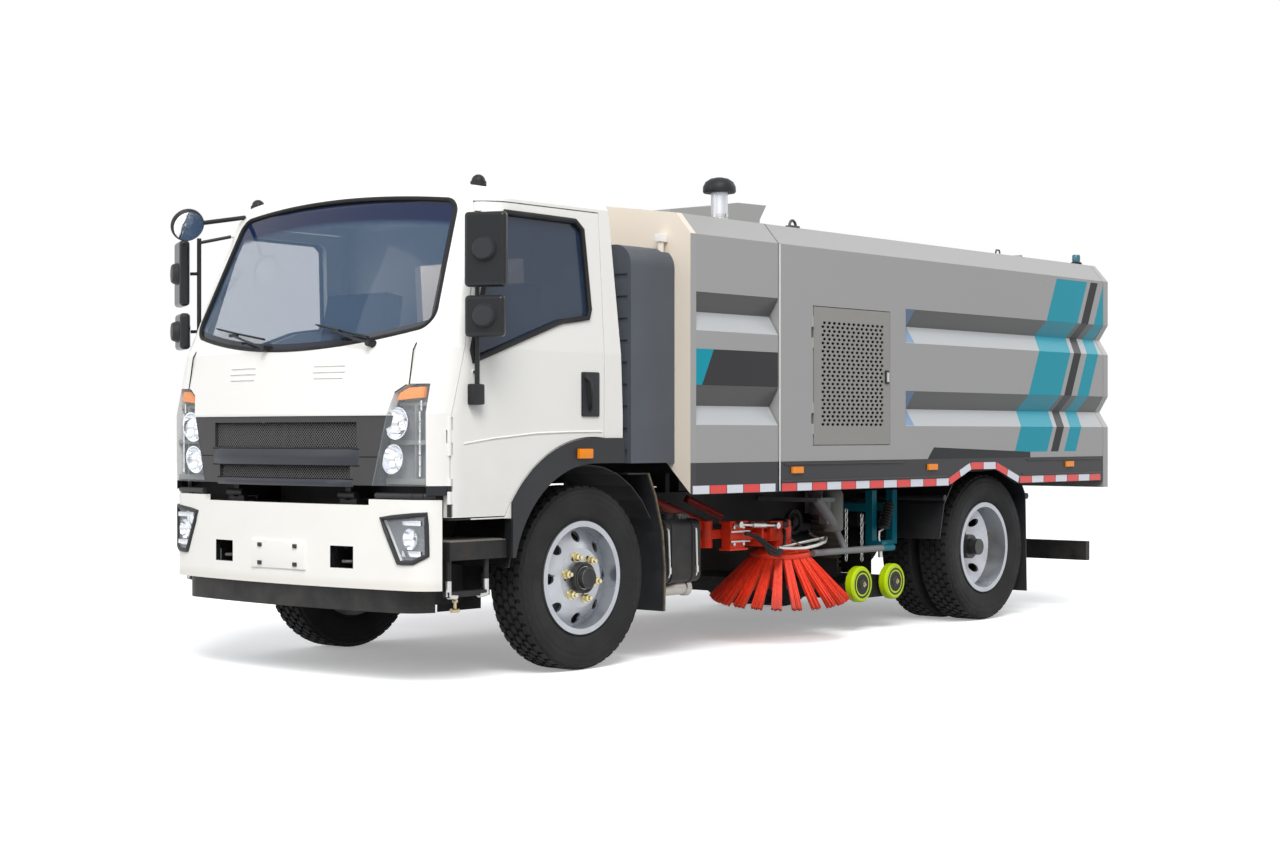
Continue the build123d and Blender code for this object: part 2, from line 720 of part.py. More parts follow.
def chassis_frame():
    """Cross members, spring hangers, body arms and the fixed side of the hopper's hinge."""
    shape = Part()
    cross_half = rail_outer_y - rail_web_t - seat_gap
    for x0, x1 in cross_members:
        shape += block(x0, x1, -cross_half, cross_half, cross_low_z, cross_high_z)
    for x in module_arms:
        shape += block(x, x + module_arm_w, -arm_half, arm_half, arm_low_z, skirt_top_z)
        shape += both(block(x, x + module_arm_w, rail_inner_y, rail_outer_y, rail_top_z + seat_gap, arm_low_z))
    for axle_x, half, y0, y1, z0, z1 in (
            (front_axle_x, front_spring_half, front_spring_y0, front_spring_y1, hanger_low_z, hanger_high_z),
            (rear_axle_x, rear_spring_half, rail_outer_y - rail_web_t, rear_spring_y1, rear_hanger_low_z,
             rear_hanger_high_z)):
        for side in (1, -1):
            near = axle_x + side * (half + seat_gap)
            shape += both(block(near, near + side * hanger_w, y0, y1, z0, z1))
    shape += both(block(cab_post_x, cab_post_x + hanger_w, rail_inner_y, rail_outer_y, rail_top_z + seat_gap,
                        deck_z - run_gap))
    tip_y0 = tip_station - 1.5 * tip_barrel_length
    tip_y1 = tip_station + 1.5 * tip_barrel_length
    shape += both(block(tip_axis_x, rail_rear_x + hanger_w, tip_y0, tip_y1, tip_lug_low_z, tip_axis_z))
    lug = block(cross_members[4][1], ram_foot_x + ram_lug_t, ram_lug_y, ram_lug_y + ram_lug_t,
                ram_foot_z - 2 * ram_lug_t, ram_foot_z + 2 * ram_lug_t)
    shape += both(lug)
    shape -= both(rail(seat_gap))
    return hinge_fixed(shape, tip_hinge)


def cab_hinges():
    """Brackets that hold the cab's tilt barrels in front of the rails."""
    lug_y0 = tilt_station - 1.5 * tilt_barrel_length
    lug_y1 = tilt_station + 1.5 * tilt_barrel_length
    lug_low_z = cross_high_z + seat_gap
    shape = both(block(rail_front_x - hanger_w, tilt_axis_x, lug_y0, lug_y1, lug_low_z,
                       tilt_axis_z - tilt_barrel_r - run_gap))
    for y0, y1 in ((lug_y0, lug_y0 + tilt_barrel_length - seat_gap), (lug_y1 - tilt_barrel_length + seat_gap, lug_y1)):
        shape += both(block(rail_front_x, tilt_axis_x, y0, y1, lug_low_z, tilt_axis_z))
    shape -= both(rail(seat_gap))
    return hinge_fixed(shape, tilt_hinge)


# Engine, gearbox and shaft
engine_front_x = 2675.0
engine_rear_x = 1775.0
engine_half = 285.0
engine_low_z = 530.0
engine_high_z = 1035.0
gearbox_rear_x = 1350.0
gearbox_half = 165.0
gearbox_low_z = 570.0
gearbox_high_z = 860.0
shaft_r = 42.0
shaft_front_z = 640.0
shaft_rear_z = 500.0
mount_w = 60.0
mount_low_z = 700.0
mount_high_z = 760.0
diff_r = 178.0
pinion_r = 70.0
pinion_x = rear_axle_x + diff_r + pinion_r


def drivetrain():
    """Engine block, gearbox and propeller shaft."""
    shape = block(engine_rear_x, engine_front_x, -engine_half, engine_half, engine_low_z, engine_high_z)
    shape += block(gearbox_rear_x, engine_rear_x, -gearbox_half, gearbox_half, gearbox_low_z, gearbox_high_z)
    fall = (shaft_front_z - shaft_rear_z) / (gearbox_rear_x - pinion_x)
    shape += rod((pinion_x + seat_gap + shaft_r * fall, 0, shaft_rear_z), (gearbox_rear_x, 0, shaft_front_z), shaft_r)
    reach = rail_outer_y - rail_web_t - seat_gap
    for x in (engine_front_x - 4 * mount_w, gearbox_rear_x + mount_w):
        shape += block(x, x + mount_w, -reach, reach, mount_low_z, mount_high_z)
    return shape


radiator_rear_x = 2825.0
radiator_front_x = 2925.0
radiator_low_z = 560.0
radiator_high_z = 1085.0


def radiator():
    half = rail_inner_y - seat_gap
    return block(radiator_rear_x, radiator_front_x, -half, half, radiator_low_z, radiator_high_z)


# Axles and steering
leaf_r = 2600.0
leaf_t = 14.0
front_spring_z = 546.0
rear_spring_z = 602.0
leaf_shares = (1.0, 0.92, 0.74, 0.56, 0.38)
kingpin_y = 720.0
kingpin_r = 22.0
beam_low_z = 380.0
beam_high_z = 468.0
beam_w = 84.0
knuckle_w = 84.0
knuckle_ear = 40.0
steer_arm_length = 230.0
steer_arm_w = 44.0
steer_arm_low_z = 404.0
steer_arm_t = 24.0
steer_pin_r = 9.0
tie_rod_r = 12.0
tie_eye_half = 15.0
tie_rod_z = 388.0


def leaf_pack(axle_x, half_length, y0, y1, top_z):
    """Leaf spring, curved up at its ends, with shorter leaves below the main one."""
    centre_z = top_z + leaf_r
    shape = Part()
    for number, length_share in enumerate(leaf_shares):
        ring = Circle(leaf_r + (number + 1) * leaf_t) - Circle(leaf_r + number * leaf_t)
        window = Pos(0, -leaf_r) * Rectangle(2 * half_length * length_share, leaf_r / 2)
        shape += side_face_prism(Pos(axle_x, centre_z) * (ring & window), y0, y1)
    return shape


def front_axle():
    """Forged beam with its kingpin eyes and two leaf springs."""
    half_w = beam_w / 2
    pack_low_z = front_spring_z - len(leaf_shares) * leaf_t
    shape = block(front_axle_x - half_w, front_axle_x + half_w, -kingpin_y, kingpin_y, beam_low_z, beam_high_z)
    web = block(front_axle_x + half_w / 2, front_axle_x + 2 * half_w, -kingpin_y + beam_w, kingpin_y - beam_w,
                beam_low_z + half_w / 2, beam_high_z - half_w / 2)
    shape -= web
    shape -= mirror(web, about=Plane.YZ.offset(front_axle_x))
    for side in (1, -1):
        shape += rod((front_axle_x, side * kingpin_y, beam_low_z), (front_axle_x, side * kingpin_y, beam_high_z), half_w)
        shape -= rod((front_axle_x, side * kingpin_y, 0), (front_axle_x, side * kingpin_y, cab_low_z),
                     kingpin_r + seat_gap)
    pack = leaf_pack(front_axle_x, front_spring_half, front_spring_y0, front_spring_y1, front_spring_z)
    pack += block(front_axle_x - half_w, front_axle_x + half_w, front_spring_y0, front_spring_y1, beam_high_z, pack_low_z)
    return shape + both(pack)


def knuckle():
    """Left steering knuckle: kingpin with two ears, spindle and steering arm."""
    y = kingpin_y
    half = knuckle_w / 2
    low, high = beam_low_z - knuckle_ear, beam_high_z + knuckle_ear
    web_y = y + half + run_gap
    shape = rod((front_axle_x, y, low), (front_axle_x, y, high), kingpin_r)
    for z0, z1 in ((low, beam_low_z - seat_gap), (beam_high_z + seat_gap, high)):
        shape += rod((front_axle_x, y, z0), (front_axle_x, y, z1), half)
        shape += block(front_axle_x - half, front_axle_x + half, y, web_y, z0, z1)
    drum_y0 = front_wheel_y - drum_w
    shape += block(front_axle_x - half, front_axle_x + half, web_y, drum_y0 - run_gap, low, high)
    shape += rod((front_axle_x, web_y, axle_z), (front_axle_x, front_wheel_y + spindle_r - seat_gap, axle_z), spindle_r)
    arm_x = front_axle_x - steer_arm_length
    arm_half = steer_arm_w / 2
    shape += block(arm_x, front_axle_x - half, y + half - arm_half, y + half + arm_half - run_gap, steer_arm_low_z,
                   steer_arm_low_z + steer_arm_t)
    shape += block(front_axle_x - half - steer_arm_w, front_axle_x, web_y, drum_y0 - run_gap, steer_arm_low_z,
                   steer_arm_low_z + steer_arm_t)
    shape += block(arm_x - arm_half, arm_x + arm_half, y - arm_half, y + half, steer_arm_low_z,
                   steer_arm_low_z + steer_arm_t)
    shape += rod((arm_x, y, tie_rod_z - tie_eye_half), (arm_x, y, steer_arm_low_z), steer_pin_r)
    return shape


def tie_rod():
    """Rod behind the axle with an eye on each steering arm's pin."""
    arm_x = front_axle_x - steer_arm_length
    shape = rod((arm_x, -kingpin_y, tie_rod_z), (arm_x, kingpin_y, tie_rod_z), tie_rod_r)
    for side in (1, -1):
        place = (arm_x, side * kingpin_y)
        shape += rod((*place, tie_rod_z - tie_eye_half), (*place, tie_rod_z + tie_eye_half), 2 * steer_pin_r)
        shape -= rod((*place, 0), (*place, cab_low_z), steer_pin_r + seat_gap)
    return shape


def rear_axle():
    """Axle housing with its differential, pinion and two leaf springs."""
    end_y = rear_inner_y + drum_w / 2 - seat_gap
    shape = rod((rear_axle_x, -end_y, axle_z), (rear_axle_x, end_y, axle_z), axle_tube_r)
    shape += Pos(rear_axle_x, 0, axle_z) * Sphere(diff_r)
    shape += rod((rear_axle_x, 0, shaft_rear_z), (pinion_x, 0, shaft_rear_z), pinion_r)
    pack_low_z = rear_spring_z - len(leaf_shares) * leaf_t
    pack = leaf_pack(rear_axle_x, rear_spring_half, rear_spring_y0, rear_spring_y1, rear_spring_z)
    pack += block(rear_axle_x - beam_w / 2, rear_axle_x + beam_w / 2, rear_spring_y0, rear_spring_y1, axle_z, pack_low_z)
    return shape + both(pack)


# Bumper
bumper_half = 1010.0
bumper_rear_x = 3045.0
bumper_low_z = 460.0
bumper_high_z = 890.0
bumper_mid_z = 861.0
bumper_mid_half = 627.0
bumper_t = 30.0
lip_low_z = 350.0
lip_inset = 26.0
lip_t = 20.0
lip_half = 900.0
lip_rear_x = 3000.0
tow_hole = (-75.0, 75.0, 556.0, 660.0)
tow_hole_y = 451.0
plate_hole = (-88.0, 88.0, 550.0, 662.0)
fog_outline = [(706.0, 800.0), (948.0, 824.0), (952.0, 629.0), (892.0, 595.0), (810.0, 592.0)]
stay_y0 = 338.0
stay_y1 = 392.0
stay_low_z = 680.0
stay_high_z = 800.0


def bumper_band(inset, rear_x, low_z, high_z):
    """Solid with the bumper's bowed outline."""
    face = bowed_plan(cab_rear_x, nose_x - inset, bumper_half - inset, cab_front_r - inset, cab_corner_r - inset, low_z)
    solid = extrude(face, amount=high_z - low_z, dir=(0, 0, 1))
    return solid & block(rear_x, nose_x, -body_half, body_half, low_z, high_z)


def front_bumper():
    """Bumper skin with its stays to the rails."""
    solid = bumper_band(0, bumper_rear_x, bumper_low_z, bumper_high_z)
    inside = bumper_band(bumper_t, bumper_rear_x - overrun, bumper_low_z - overrun, bumper_high_z + overrun)
    shape = solid - inside
    shape -= block(bumper_rear_x, nose_x + overrun, -bumper_mid_half, bumper_mid_half, bumper_mid_z, bumper_high_z + overrun)
    for centre, hole in ((-tow_hole_y, tow_hole), (0, plate_hole), (tow_hole_y, tow_hole)):
        y0, y1, z0, z1 = hole
        shape -= block(bumper_rear_x, nose_x + overrun, centre + y0, centre + y1, z0, z1)
    shape -= both(front_prism(fog_outline, bumper_rear_x - overrun, nose_x + overrun))
    stay = block(rail_front_x + seat_gap, nose_x, stay_y0, stay_y1, stay_low_z, stay_high_z)
    return shape + both(stay & solid)


def lip_plan(inset):
    """Bowed outline of the lip."""
    set_back = lip_inset + inset
    return bowed_plan(cab_rear_x, nose_x - set_back, lip_half - inset, cab_front_r - set_back,
                      cab_corner_r - set_back, lip_low_z)


def bumper_lip():
    """Black lower lip under the bumper."""
    height = bumper_low_z - seat_gap - lip_low_z
    shape = extrude(lip_plan(0), amount=height, dir=(0, 0, 1)) - extrude(lip_plan(lip_t), amount=height, dir=(0, 0, 1))
    return shape & block(lip_rear_x, nose_x, -lip_half, lip_half, lip_low_z, bumper_low_z)


# Rear guard and chassis lamps
guard_bar_x0 = -3092.0
guard_bar_x1 = -3042.0
guard_half = 1075.0
guard_low_z = 326.0
guard_high_z = 458.0
guard_arm_t = 14.0
guard_arm_high_z = 760.0
guard_arm_front_x = -2700.0
tail_lamp = (790.0, 1030.0, 345.0, 440.0)
tail_lamp_depth = 38.0
fog_depth = 50.0


def underrun_guard():
    """Rear underrun bar on two arms bolted to the rails."""
    bar = block(guard_bar_x0, guard_bar_x1, -guard_half, guard_half, guard_low_z, guard_high_z)
    inner_y = rail_outer_y + seat_gap
    arm = side_prism([(guard_bar_x0, guard_low_z), (guard_bar_x1, guard_low_z), (guard_arm_front_x, rail_low_z),
                      (guard_arm_front_x, guard_arm_high_z), (rail_rear_x - hanger_w, guard_arm_high_z)],
                     inner_y, inner_y + guard_arm_t)
    return bar + both(arm)


def chassis_lamps():
    """Fog lamps in the bumper and tail lamps on the rear guard."""
    band = bumper_band(seat_gap, bumper_rear_x, bumper_low_z, bumper_high_z)
    band -= bumper_band(fog_depth, bumper_rear_x - overrun, bumper_low_z - overrun, bumper_high_z + overrun)
    face = offset(Polygon(*fog_outline, align=None), amount=-seat_gap, kind=Kind.INTERSECTION)
    fog = band & front_face_prism(face, bumper_rear_x - overrun, nose_x + overrun)
    lamp_x = guard_bar_x0 - seat_gap
    return both(fog) + both(block(lamp_x - tail_lamp_depth, lamp_x, *tail_lamp))


# Steps, tanks, exhaust and mudguards
step_front_x = 3015.0
step_rear_x = rocker_x + 1.5 * run_gap
step_inner_y = 700.0
step_outer_y = 1015.0
step_low_z = 602.0
step_high_z = 689.0
step_wall = 12.0
stirrup_front_x = 3000.0
stirrup_rear_x = 2750.0
stirrup_low_z = 440.0
stirrup_r = 13.0


def cab_steps():
    """Step box and stirrup under each door, on an arm to the rail."""
    box = block(step_rear_x, step_front_x, step_inner_y, step_outer_y, step_low_z, step_high_z)
    box -= block(step_rear_x + step_wall, step_front_x - step_wall, step_inner_y + step_wall,
                 step_outer_y - step_wall, step_low_z - overrun, step_high_z - step_wall)
    arm = block(stirrup_rear_x, stirrup_rear_x + 5 * step_wall, rail_outer_y + seat_gap, step_inner_y + step_wall,
                rail_low_z + step_wall, step_high_z)
    y = step_outer_y - 2 * stirrup_r
    for x in (stirrup_rear_x, stirrup_front_x):
        box += rod((x, y, stirrup_low_z), (x, y, step_high_z - step_wall), stirrup_r)
    box += block(stirrup_rear_x - stirrup_r, stirrup_front_x + stirrup_r, y - 2 * stirrup_r, y + stirrup_r,
                 stirrup_low_z - stirrup_r, stirrup_low_z + stirrup_r)
    return both(box + arm)


tank_x0 = 1105.0
tank_x1 = 1395.0
tank_y0 = 620.0
tank_y1 = 990.0
tank_low_z = 402.0
tank_high_z = 742.0
tank_corner_r = 45.0
strap_w = 30.0
strap_t = 4.0
tank_arm_low_z = 660.0
tank_arm_high_z = 725.0
tank_cap_r = 34.0
tank_cap_h = 26.0
air_tank_r = 122.0
air_tank_y = 700.0
air_tank_z = 570.0


def tank_box(grow, x0, x1):
    """Box with rounded edges along X."""
    shape = block(x0, x1, tank_y0 - grow, tank_y1 + grow, tank_low_z - grow, tank_high_z + grow)
    return fillet(shape.edges().filter_by(Axis.X), tank_corner_r + grow)


def tanks():
    """Fuel tank on the left, air tank on the right, each on two arms."""
    fuel = tank_box(0, tank_x0, tank_x1)
    air = rod((tank_x0, -air_tank_y, air_tank_z), (tank_x1, -air_tank_y, air_tank_z), air_tank_r)
    for share in (0.2, 0.8):
        x = tank_x0 + (tank_x1 - tank_x0) * share - strap_w / 2
        fuel += tank_box(strap_t, x, x + strap_w)
        fuel += block(x, x + strap_w, rail_outer_y + seat_gap, tank_y0 + strap_w, tank_arm_low_z, tank_arm_high_z)
        air += rod((x, -air_tank_y, air_tank_z), (x + strap_w, -air_tank_y, air_tank_z), air_tank_r + strap_t)
        air += block(x, x + strap_w, -rail_outer_y - seat_gap, -air_tank_y, tank_arm_low_z - strap_w, tank_arm_low_z)
    cap_x = (tank_x0 + tank_x1) / 2
    cap_y = tank_y0 + (tank_y1 - tank_y0) * 0.7
    fuel += rod((cap_x, cap_y, tank_high_z), (cap_x, cap_y, tank_high_z + tank_cap_h), tank_cap_r)
    return Part() + fuel + air


muffler_r = 74.0
muffler_y = 530.0
muffler_z = 505.0
muffler_x0 = 1090.0
muffler_x1 = 1330.0
exhaust_r = 34.0
exhaust_y = 800.0
exhaust_z = 355.0
exhaust_x0 = 1145.0
exhaust_x1 = 1380.0
exhaust_wall = 3.0
exhaust_hanger_high_z = 700.0


def exhaust():
    """Muffler beside the rail with its tail pipe under the fuel tank."""
    shape = rod((muffler_x0, muffler_y, muffler_z), (muffler_x1, muffler_y, muffler_z), muffler_r)
    shape += rod((muffler_x1, muffler_y, muffler_z), (exhaust_x1, muffler_y, muffler_z), exhaust_r)
    shape += Pos(exhaust_x1, muffler_y, muffler_z) * Sphere(exhaust_r)
    shape += rod((exhaust_x1, muffler_y, muffler_z), (exhaust_x1, muffler_y, exhaust_z), exhaust_r)
    shape += rod((exhaust_x1, muffler_y, exhaust_z), (exhaust_x1, exhaust_y, exhaust_z), exhaust_r)
    for y in (muffler_y, exhaust_y):
        shape += Pos(exhaust_x1, y, exhaust_z) * Sphere(exhaust_r)
    shape += rod((exhaust_x0, exhaust_y, exhaust_z), (exhaust_x1, exhaust_y, exhaust_z), exhaust_r)
    shape -= rod((exhaust_x0 - overrun, exhaust_y, exhaust_z), (exhaust_x0 + overrun, exhaust_y, exhaust_z),
                 exhaust_r - exhaust_wall)
    hanger_x = (muffler_x0 + muffler_x1) / 2
    shape += block(hanger_x, hanger_x + strap_w, rail_outer_y + seat_gap, muffler_y, muffler_z, exhaust_hanger_high_z)
    return shape


guard_t = 8.0
front_guard_y0 = 740.0
front_guard_y1 = 1010.0
front_guard_points = [(1727.0, 999.0), (1571.0, 997.0), (1512.0, 873.0), (1454.0, 683.0), (1434.0, 483.0),
                      (1440.0, 262.0)]
front_guard_arm = (1455.0, 1500.0, 700.0, 740.0)
rear_guard_y0 = 530.0
rear_guard_y1 = 1060.0
rear_guard_points = [(-1185.0, 545.0), (-1235.0, 760.0), (-1400.0, 970.0), (-2130.0, 970.0), (-2245.0, 800.0),
                     (-2262.0, 160.0)]
rear_guard_arms = [(-1250.0, 800.0), (-2262.0, 790.0)]
guard_arm_r = 20.0


def strip(points, thickness):
    """Band of even thickness beside a bent line."""
    moved = []
    for number, point in enumerate(points):
        before, after = points[max(number - 1, 0)], points[min(number + 1, len(points) - 1)]
        dx, dz = after[0] - before[0], after[1] - before[1]
        length = sqrt(dx * dx + dz * dz)
        moved.append((point[0] - dz / length * thickness, point[1] + dx / length * thickness))
    return points + moved[::-1]


def mudguards():
    """Rear halves of the front mudguards, whole rear mudguards with flaps, and their arms."""
    front = side_prism(strip(front_guard_points, guard_t), front_guard_y0, front_guard_y1)
    x0, x1, z0, z1 = front_guard_arm
    front += block(x0, x1, rail_outer_y + seat_gap, front_guard_y1, z0, z1) & side_prism(
        front_guard_points[:4] + [(front_axle_x - tyre_r - 2 * overrun, rail_low_z), (exhaust_x1, rail_low_z),
                                  (exhaust_x1, front_guard_points[0][1])], rail_outer_y, front_guard_y0 + guard_t)
    rear = side_prism(strip(rear_guard_points, guard_t), rear_guard_y0, rear_guard_y1)
    for x, z in rear_guard_arms:
        rear += rod((x, rail_outer_y + seat_gap, z), (x, rear_guard_y1, z), guard_arm_r)
    return both(front) + both(rear)


# Faceted body section, right half from the roof down
roof_z = 2455.0
roof_break = (511.0, 2451.0)
shoulder = (1050.0, 2378.0)
chamfer_z = 2262.0
panel_t = 35.0
recess_depth = 65.0
Recess = namedtuple("Recess", "top valley bottom")
recesses = [Recess(1957.0, 1855.0, 1752.0), Recess(1462.0, 1353.0, 1250.0)]
recess_start_x = -666.0
recess_slope = 90.0


def body_outline(low_z, with_recesses):
    """Half outline of the faceted body in Y and Z."""
    points = [(0, roof_z), roof_break, shoulder, (body_half, chamfer_z)]
    if with_recesses:
        for recess in recesses:
            points += [(body_half, recess.top), (body_half - recess_depth, recess.valley), (body_half, recess.bottom)]
    return points + [(body_half, low_z), (0, low_z)]


def body_space(low_z):
    """Half outline of the space inside the body."""
    return [(0, roof_z - panel_t), (roof_break[0], roof_break[1] - panel_t),
            (body_inner_y - panel_t, shoulder[1] - panel_t), (body_inner_y, chamfer_z), (body_inner_y, low_z), (0, low_z)]


module_rear_x = split_x + split_gap
wall_low_z = 1058.0
wall_low_y = 975.0
wall_corner_z = 884.0
tube_y = 972.0
tube_r = 18.0
tube_low_z = 1330.0
tube_high_z = 2263.0


def aux_front_wall():
    """Cream wall behind the cab with its vertical tube."""
    wall_x = module_front_x - module_wall_t
    outline = closed([(0, roof_z), roof_break, shoulder, (body_half, chamfer_z), (body_half, wall_corner_z),
                      (wall_low_y, wall_low_z), (0, wall_low_z)])
    shape = front_prism(outline, wall_x, module_front_x)
    x = module_front_x + 2 * tube_r
    shape += rod((x, tube_y, tube_low_z), (x, tube_y, tube_high_z), tube_r)
    for z in (tube_low_z + tube_r, (tube_low_z + tube_high_z) / 2, tube_high_z - tube_r):
        shape += block(module_front_x, x, tube_y - tube_r, tube_y + tube_r, z - tube_r, z + tube_r)
    return shape


def aux_cover():
    """Grey sides and roof of the power module."""
    front_x = module_front_x - module_wall_t - seat_gap
    low = skirt_top_z + seat_gap
    shape = front_prism(closed(body_outline(low, True)), module_rear_x, front_x)
    return shape - front_prism(closed(body_space(low - overrun)), module_rear_x - overrun, front_x + overrun)


skirt_inner_y = arm_half + seat_gap


def skirt(x0, x1):
    """Plain skirt panels on both sides."""
    return both(block(x0, x1, skirt_inner_y, body_half, body_low_z, skirt_top_z))


def module_skirts():
    return skirt(module_rear_x, module_front_x - module_wall_t - seat_gap)


aux_block_x0 = 680.0
aux_block_x1 = 1270.0
aux_block_half = 420.0
aux_block_top_z = 1720.0


def aux_engine():
    """Auxiliary engine as one block on the body arms."""
    return block(aux_block_x0, aux_block_x1, -aux_block_half, aux_block_half, skirt_top_z + seat_gap, aux_block_top_z)


duct_front_x = 1740.0
duct_y0 = 700.0
duct_y1 = 1040.0
duct_low_z = 1050.0
duct_high_z = 2190.0
duct_corner_r = 110.0
duct_groove = 8.0
duct_groove_h = 26.0
duct_groove_count = 9


def intake_duct():
    """Ribbed air intake behind the cab."""
    rear_x = module_front_x + seat_gap
    shape = block(rear_x, duct_front_x, duct_y0, duct_y1, duct_low_z, duct_high_z)
    top = shape.edges().filter_by(Axis.X).group_by(Axis.Z)[-1]
    shape = fillet(top, duct_corner_r)
    tube_x = module_front_x + 2 * tube_r
    shape -= block(rear_x - overrun, tube_x + tube_r + run_gap, tube_y - tube_r - run_gap, tube_y + tube_r + run_gap,
                   tube_low_z - run_gap, tube_high_z)
    step = (duct_high_z - duct_corner_r - duct_low_z) / duct_groove_count
    for number in range(duct_groove_count):
        z = duct_low_z + step * (number + 0.5)
        shape -= block(duct_front_x - duct_groove, duct_front_x + overrun, duct_y0 + duct_groove_h,
                       duct_y1 - duct_groove_h, z - duct_groove_h / 2, z + duct_groove_h / 2)
    return shape


stack_x = 865.0
stack_y = 930.0
stack_r = 47.0
stack_neck_z = 2540.0
stack_cap_r = 86.0
stack_top_z = 2615.0


def intake_stack():
    """Pipe with a rain cap on the module's roof."""
    place = (stack_x, stack_y)
    shape = rod((*place, chamfer_z), (*place, stack_neck_z), stack_r)
    cap = Pos(stack_x, stack_y, stack_neck_z) * Cone(stack_cap_r, stack_r, stack_top_z - stack_neck_z,
                                                     align=(Align.CENTER, Align.CENTER, Align.MIN))
    shape += cap
    roof = front_prism(closed(body_outline(wall_low_z, False)), module_rear_x, module_front_x)
    return shape - Pos(0, 0, seat_gap) * roof


# Hopper
louvre_front_x = 287.0
louvre_rear_x = -500.0
louvre_low_z = 1136.0
louvre_high_z = 1932.0
louvre_t = 35.0
louvre_barrel_r = 9.0
louvre_barrel_length = 60.0
louvre_axis_y = body_half - louvre_barrel_r / 2
louvre_stations = (1290.0, 1780.0)
louvre_hinge = Hinge((louvre_front_x, louvre_axis_y, 0), (0, 0, 1), louvre_stations, louvre_barrel_r,
                     louvre_barrel_length)
other_louvre_hinge = Hinge((louvre_front_x, -louvre_axis_y, 0), (0, 0, 1), louvre_stations, louvre_barrel_r,
                           louvre_barrel_length)
slot_rows = 12
slot_field_shares = (0.12, 0.84, 0.16, 0.84)
slot_h = 12.0
gate_station = 400.0
gate_barrel_r = 14.0
gate_barrel_length = 70.0
gate_axis_x = hopper_rear_x - run_gap / 2
gate_axis_z = roof_z + gate_barrel_r
gate_hinge = Hinge((gate_axis_x, 0, gate_axis_z), (0, 1, 0), (-gate_station, gate_station), gate_barrel_r,
                   gate_barrel_length)
gate_low_z = 833.0
end_wall_t = 30.0


def hopper_shell():
    """Faceted sides, roof and front wall of the hopper."""
    low = skirt_top_z + seat_gap
    shape = front_prism(closed(body_outline(low, False)), hopper_rear_x, split_x)
    shape -= front_prism(closed(body_space(low - overrun)), hopper_rear_x - overrun, split_x - end_wall_t)
    for recess in recesses:
        groove = front_prism([(body_half + recess_depth, recess.top + (recess.top - recess.valley)),
                              (body_half - recess_depth, recess.valley),
                              (body_half + recess_depth, recess.bottom - (recess.valley - recess.bottom))],
                             hopper_rear_x - overrun, recess_start_x)
        ends = plan_prism([(recess_start_x, body_half), (recess_start_x - recess_slope, body_half - recess_depth),
                           (hopper_rear_x - overrun, body_half - recess_depth),
                           (hopper_rear_x - overrun, body_half + recess_depth),
                           (recess_start_x, body_half + recess_depth)], 0, roof_z)
        shape -= both(groove & ends)
    opening = block(louvre_rear_x, louvre_front_x, body_inner_y - overrun, body_half + overrun, louvre_low_z,
                    louvre_high_z)
    shape -= both(opening)
    seam_y, seam_z = body_inner_y - panel_t, shoulder[1] - panel_t
    shape -= both(block(hopper_rear_x - overrun, split_x + overrun, seam_y, seam_y + seat_gap, 0, roof_z))
    shape -= block(split_x - end_wall_t - overrun, split_x + overrun, -seam_y, seam_y, seam_z - seat_gap, seam_z)
    y0, y1 = gate_station - 1.5 * gate_barrel_length, gate_station + 1.5 * gate_barrel_length
    shape += both(block(hopper_rear_x, hopper_rear_x + 2 * gate_barrel_r, y0, y1, roof_z - panel_t, gate_axis_z))
    for hinge in (louvre_hinge, other_louvre_hinge, gate_hinge):
        shape = hinge_fixed(shape, hinge)
    return shape


hose_x = -715.0
hose_y = 520.0
hose_r = 100.0
hose_wall = 7.0
hose_low_z = 372.0
hose_high_z = 700.0
inlet_r = hose_r + 2 * run_gap
sill_rear_x = -2830.0
ram_pin_x = -900.0
ram_pin_z = 960.0
ram_eye_half = 46.0
ram_eye_r = 30.0
ram_beam_t = 12.0


def hopper_floor():
    """Floor with its long sills, suction inlets, tipping lugs and the ram's lugs."""
    shape = block(hopper_rear_x, split_x, -arm_half, arm_half, hopper_floor_z, skirt_top_z)
    shape += block(ram_pin_x - ram_eye_r, ram_pin_x + ram_eye_r, -rail_inner_y, rail_inner_y,
                   hopper_floor_z - ram_beam_t, hopper_floor_z)
    for side in (1, -1):
        shape -= rod((hose_x, side * hose_y, 0), (hose_x, side * hose_y, cab_top_z), inlet_r)
        shape += block(sill_rear_x, split_x - end_wall_t, side * rail_inner_y, side * rail_outer_y,
                       rail_top_z + run_gap, hopper_floor_z)
        lug_y = ram_eye_half + seat_gap
        shape += block(ram_pin_x - ram_eye_r, ram_pin_x + ram_eye_r, side * lug_y, side * (lug_y + ram_lug_t),
                       ram_pin_z - ram_eye_r, hopper_floor_z)
        y0, y1 = tip_station - tip_barrel_length / 2, tip_station + tip_barrel_length / 2
        shape += block(tip_axis_x - tip_lug_half, tip_axis_x + tip_lug_half, side * y0, side * y1, tip_axis_z,
                       hopper_floor_z)
    return hinge_moving(shape, tip_hinge)


skirt_arch_points = [(-1150.0, 880.0), (-1408.0, 992.0), (-1712.0, 988.0), (-2001.0, 880.0)]


def hopper_skirts():
    """Skirts of the hopper, cut away over the rear wheels."""
    low_points = [(x, z if z > body_low_z else body_low_z - overrun) for x, z in skirt_arch_points]
    arch = side_prism([low_points[0]] + skirt_arch_points + [low_points[-1]], body_inner_y, body_half + overrun)
    return skirt(hopper_rear_x, split_x) - both(arch)


hood_half = 300.0
hood_points = [(534.0, 2521.0), (129.0, 2574.0), (-106.0, 2612.0), (-398.0, 2619.0), (-331.0, 2526.0)]


def roof_duct():
    """Sloping air hood on the hopper's roof."""
    low = roof_z + seat_gap
    points = [(hood_points[0][0], low)] + hood_points + [(hood_points[-1][0], low)]
    return side_prism(points, -hood_half, hood_half)


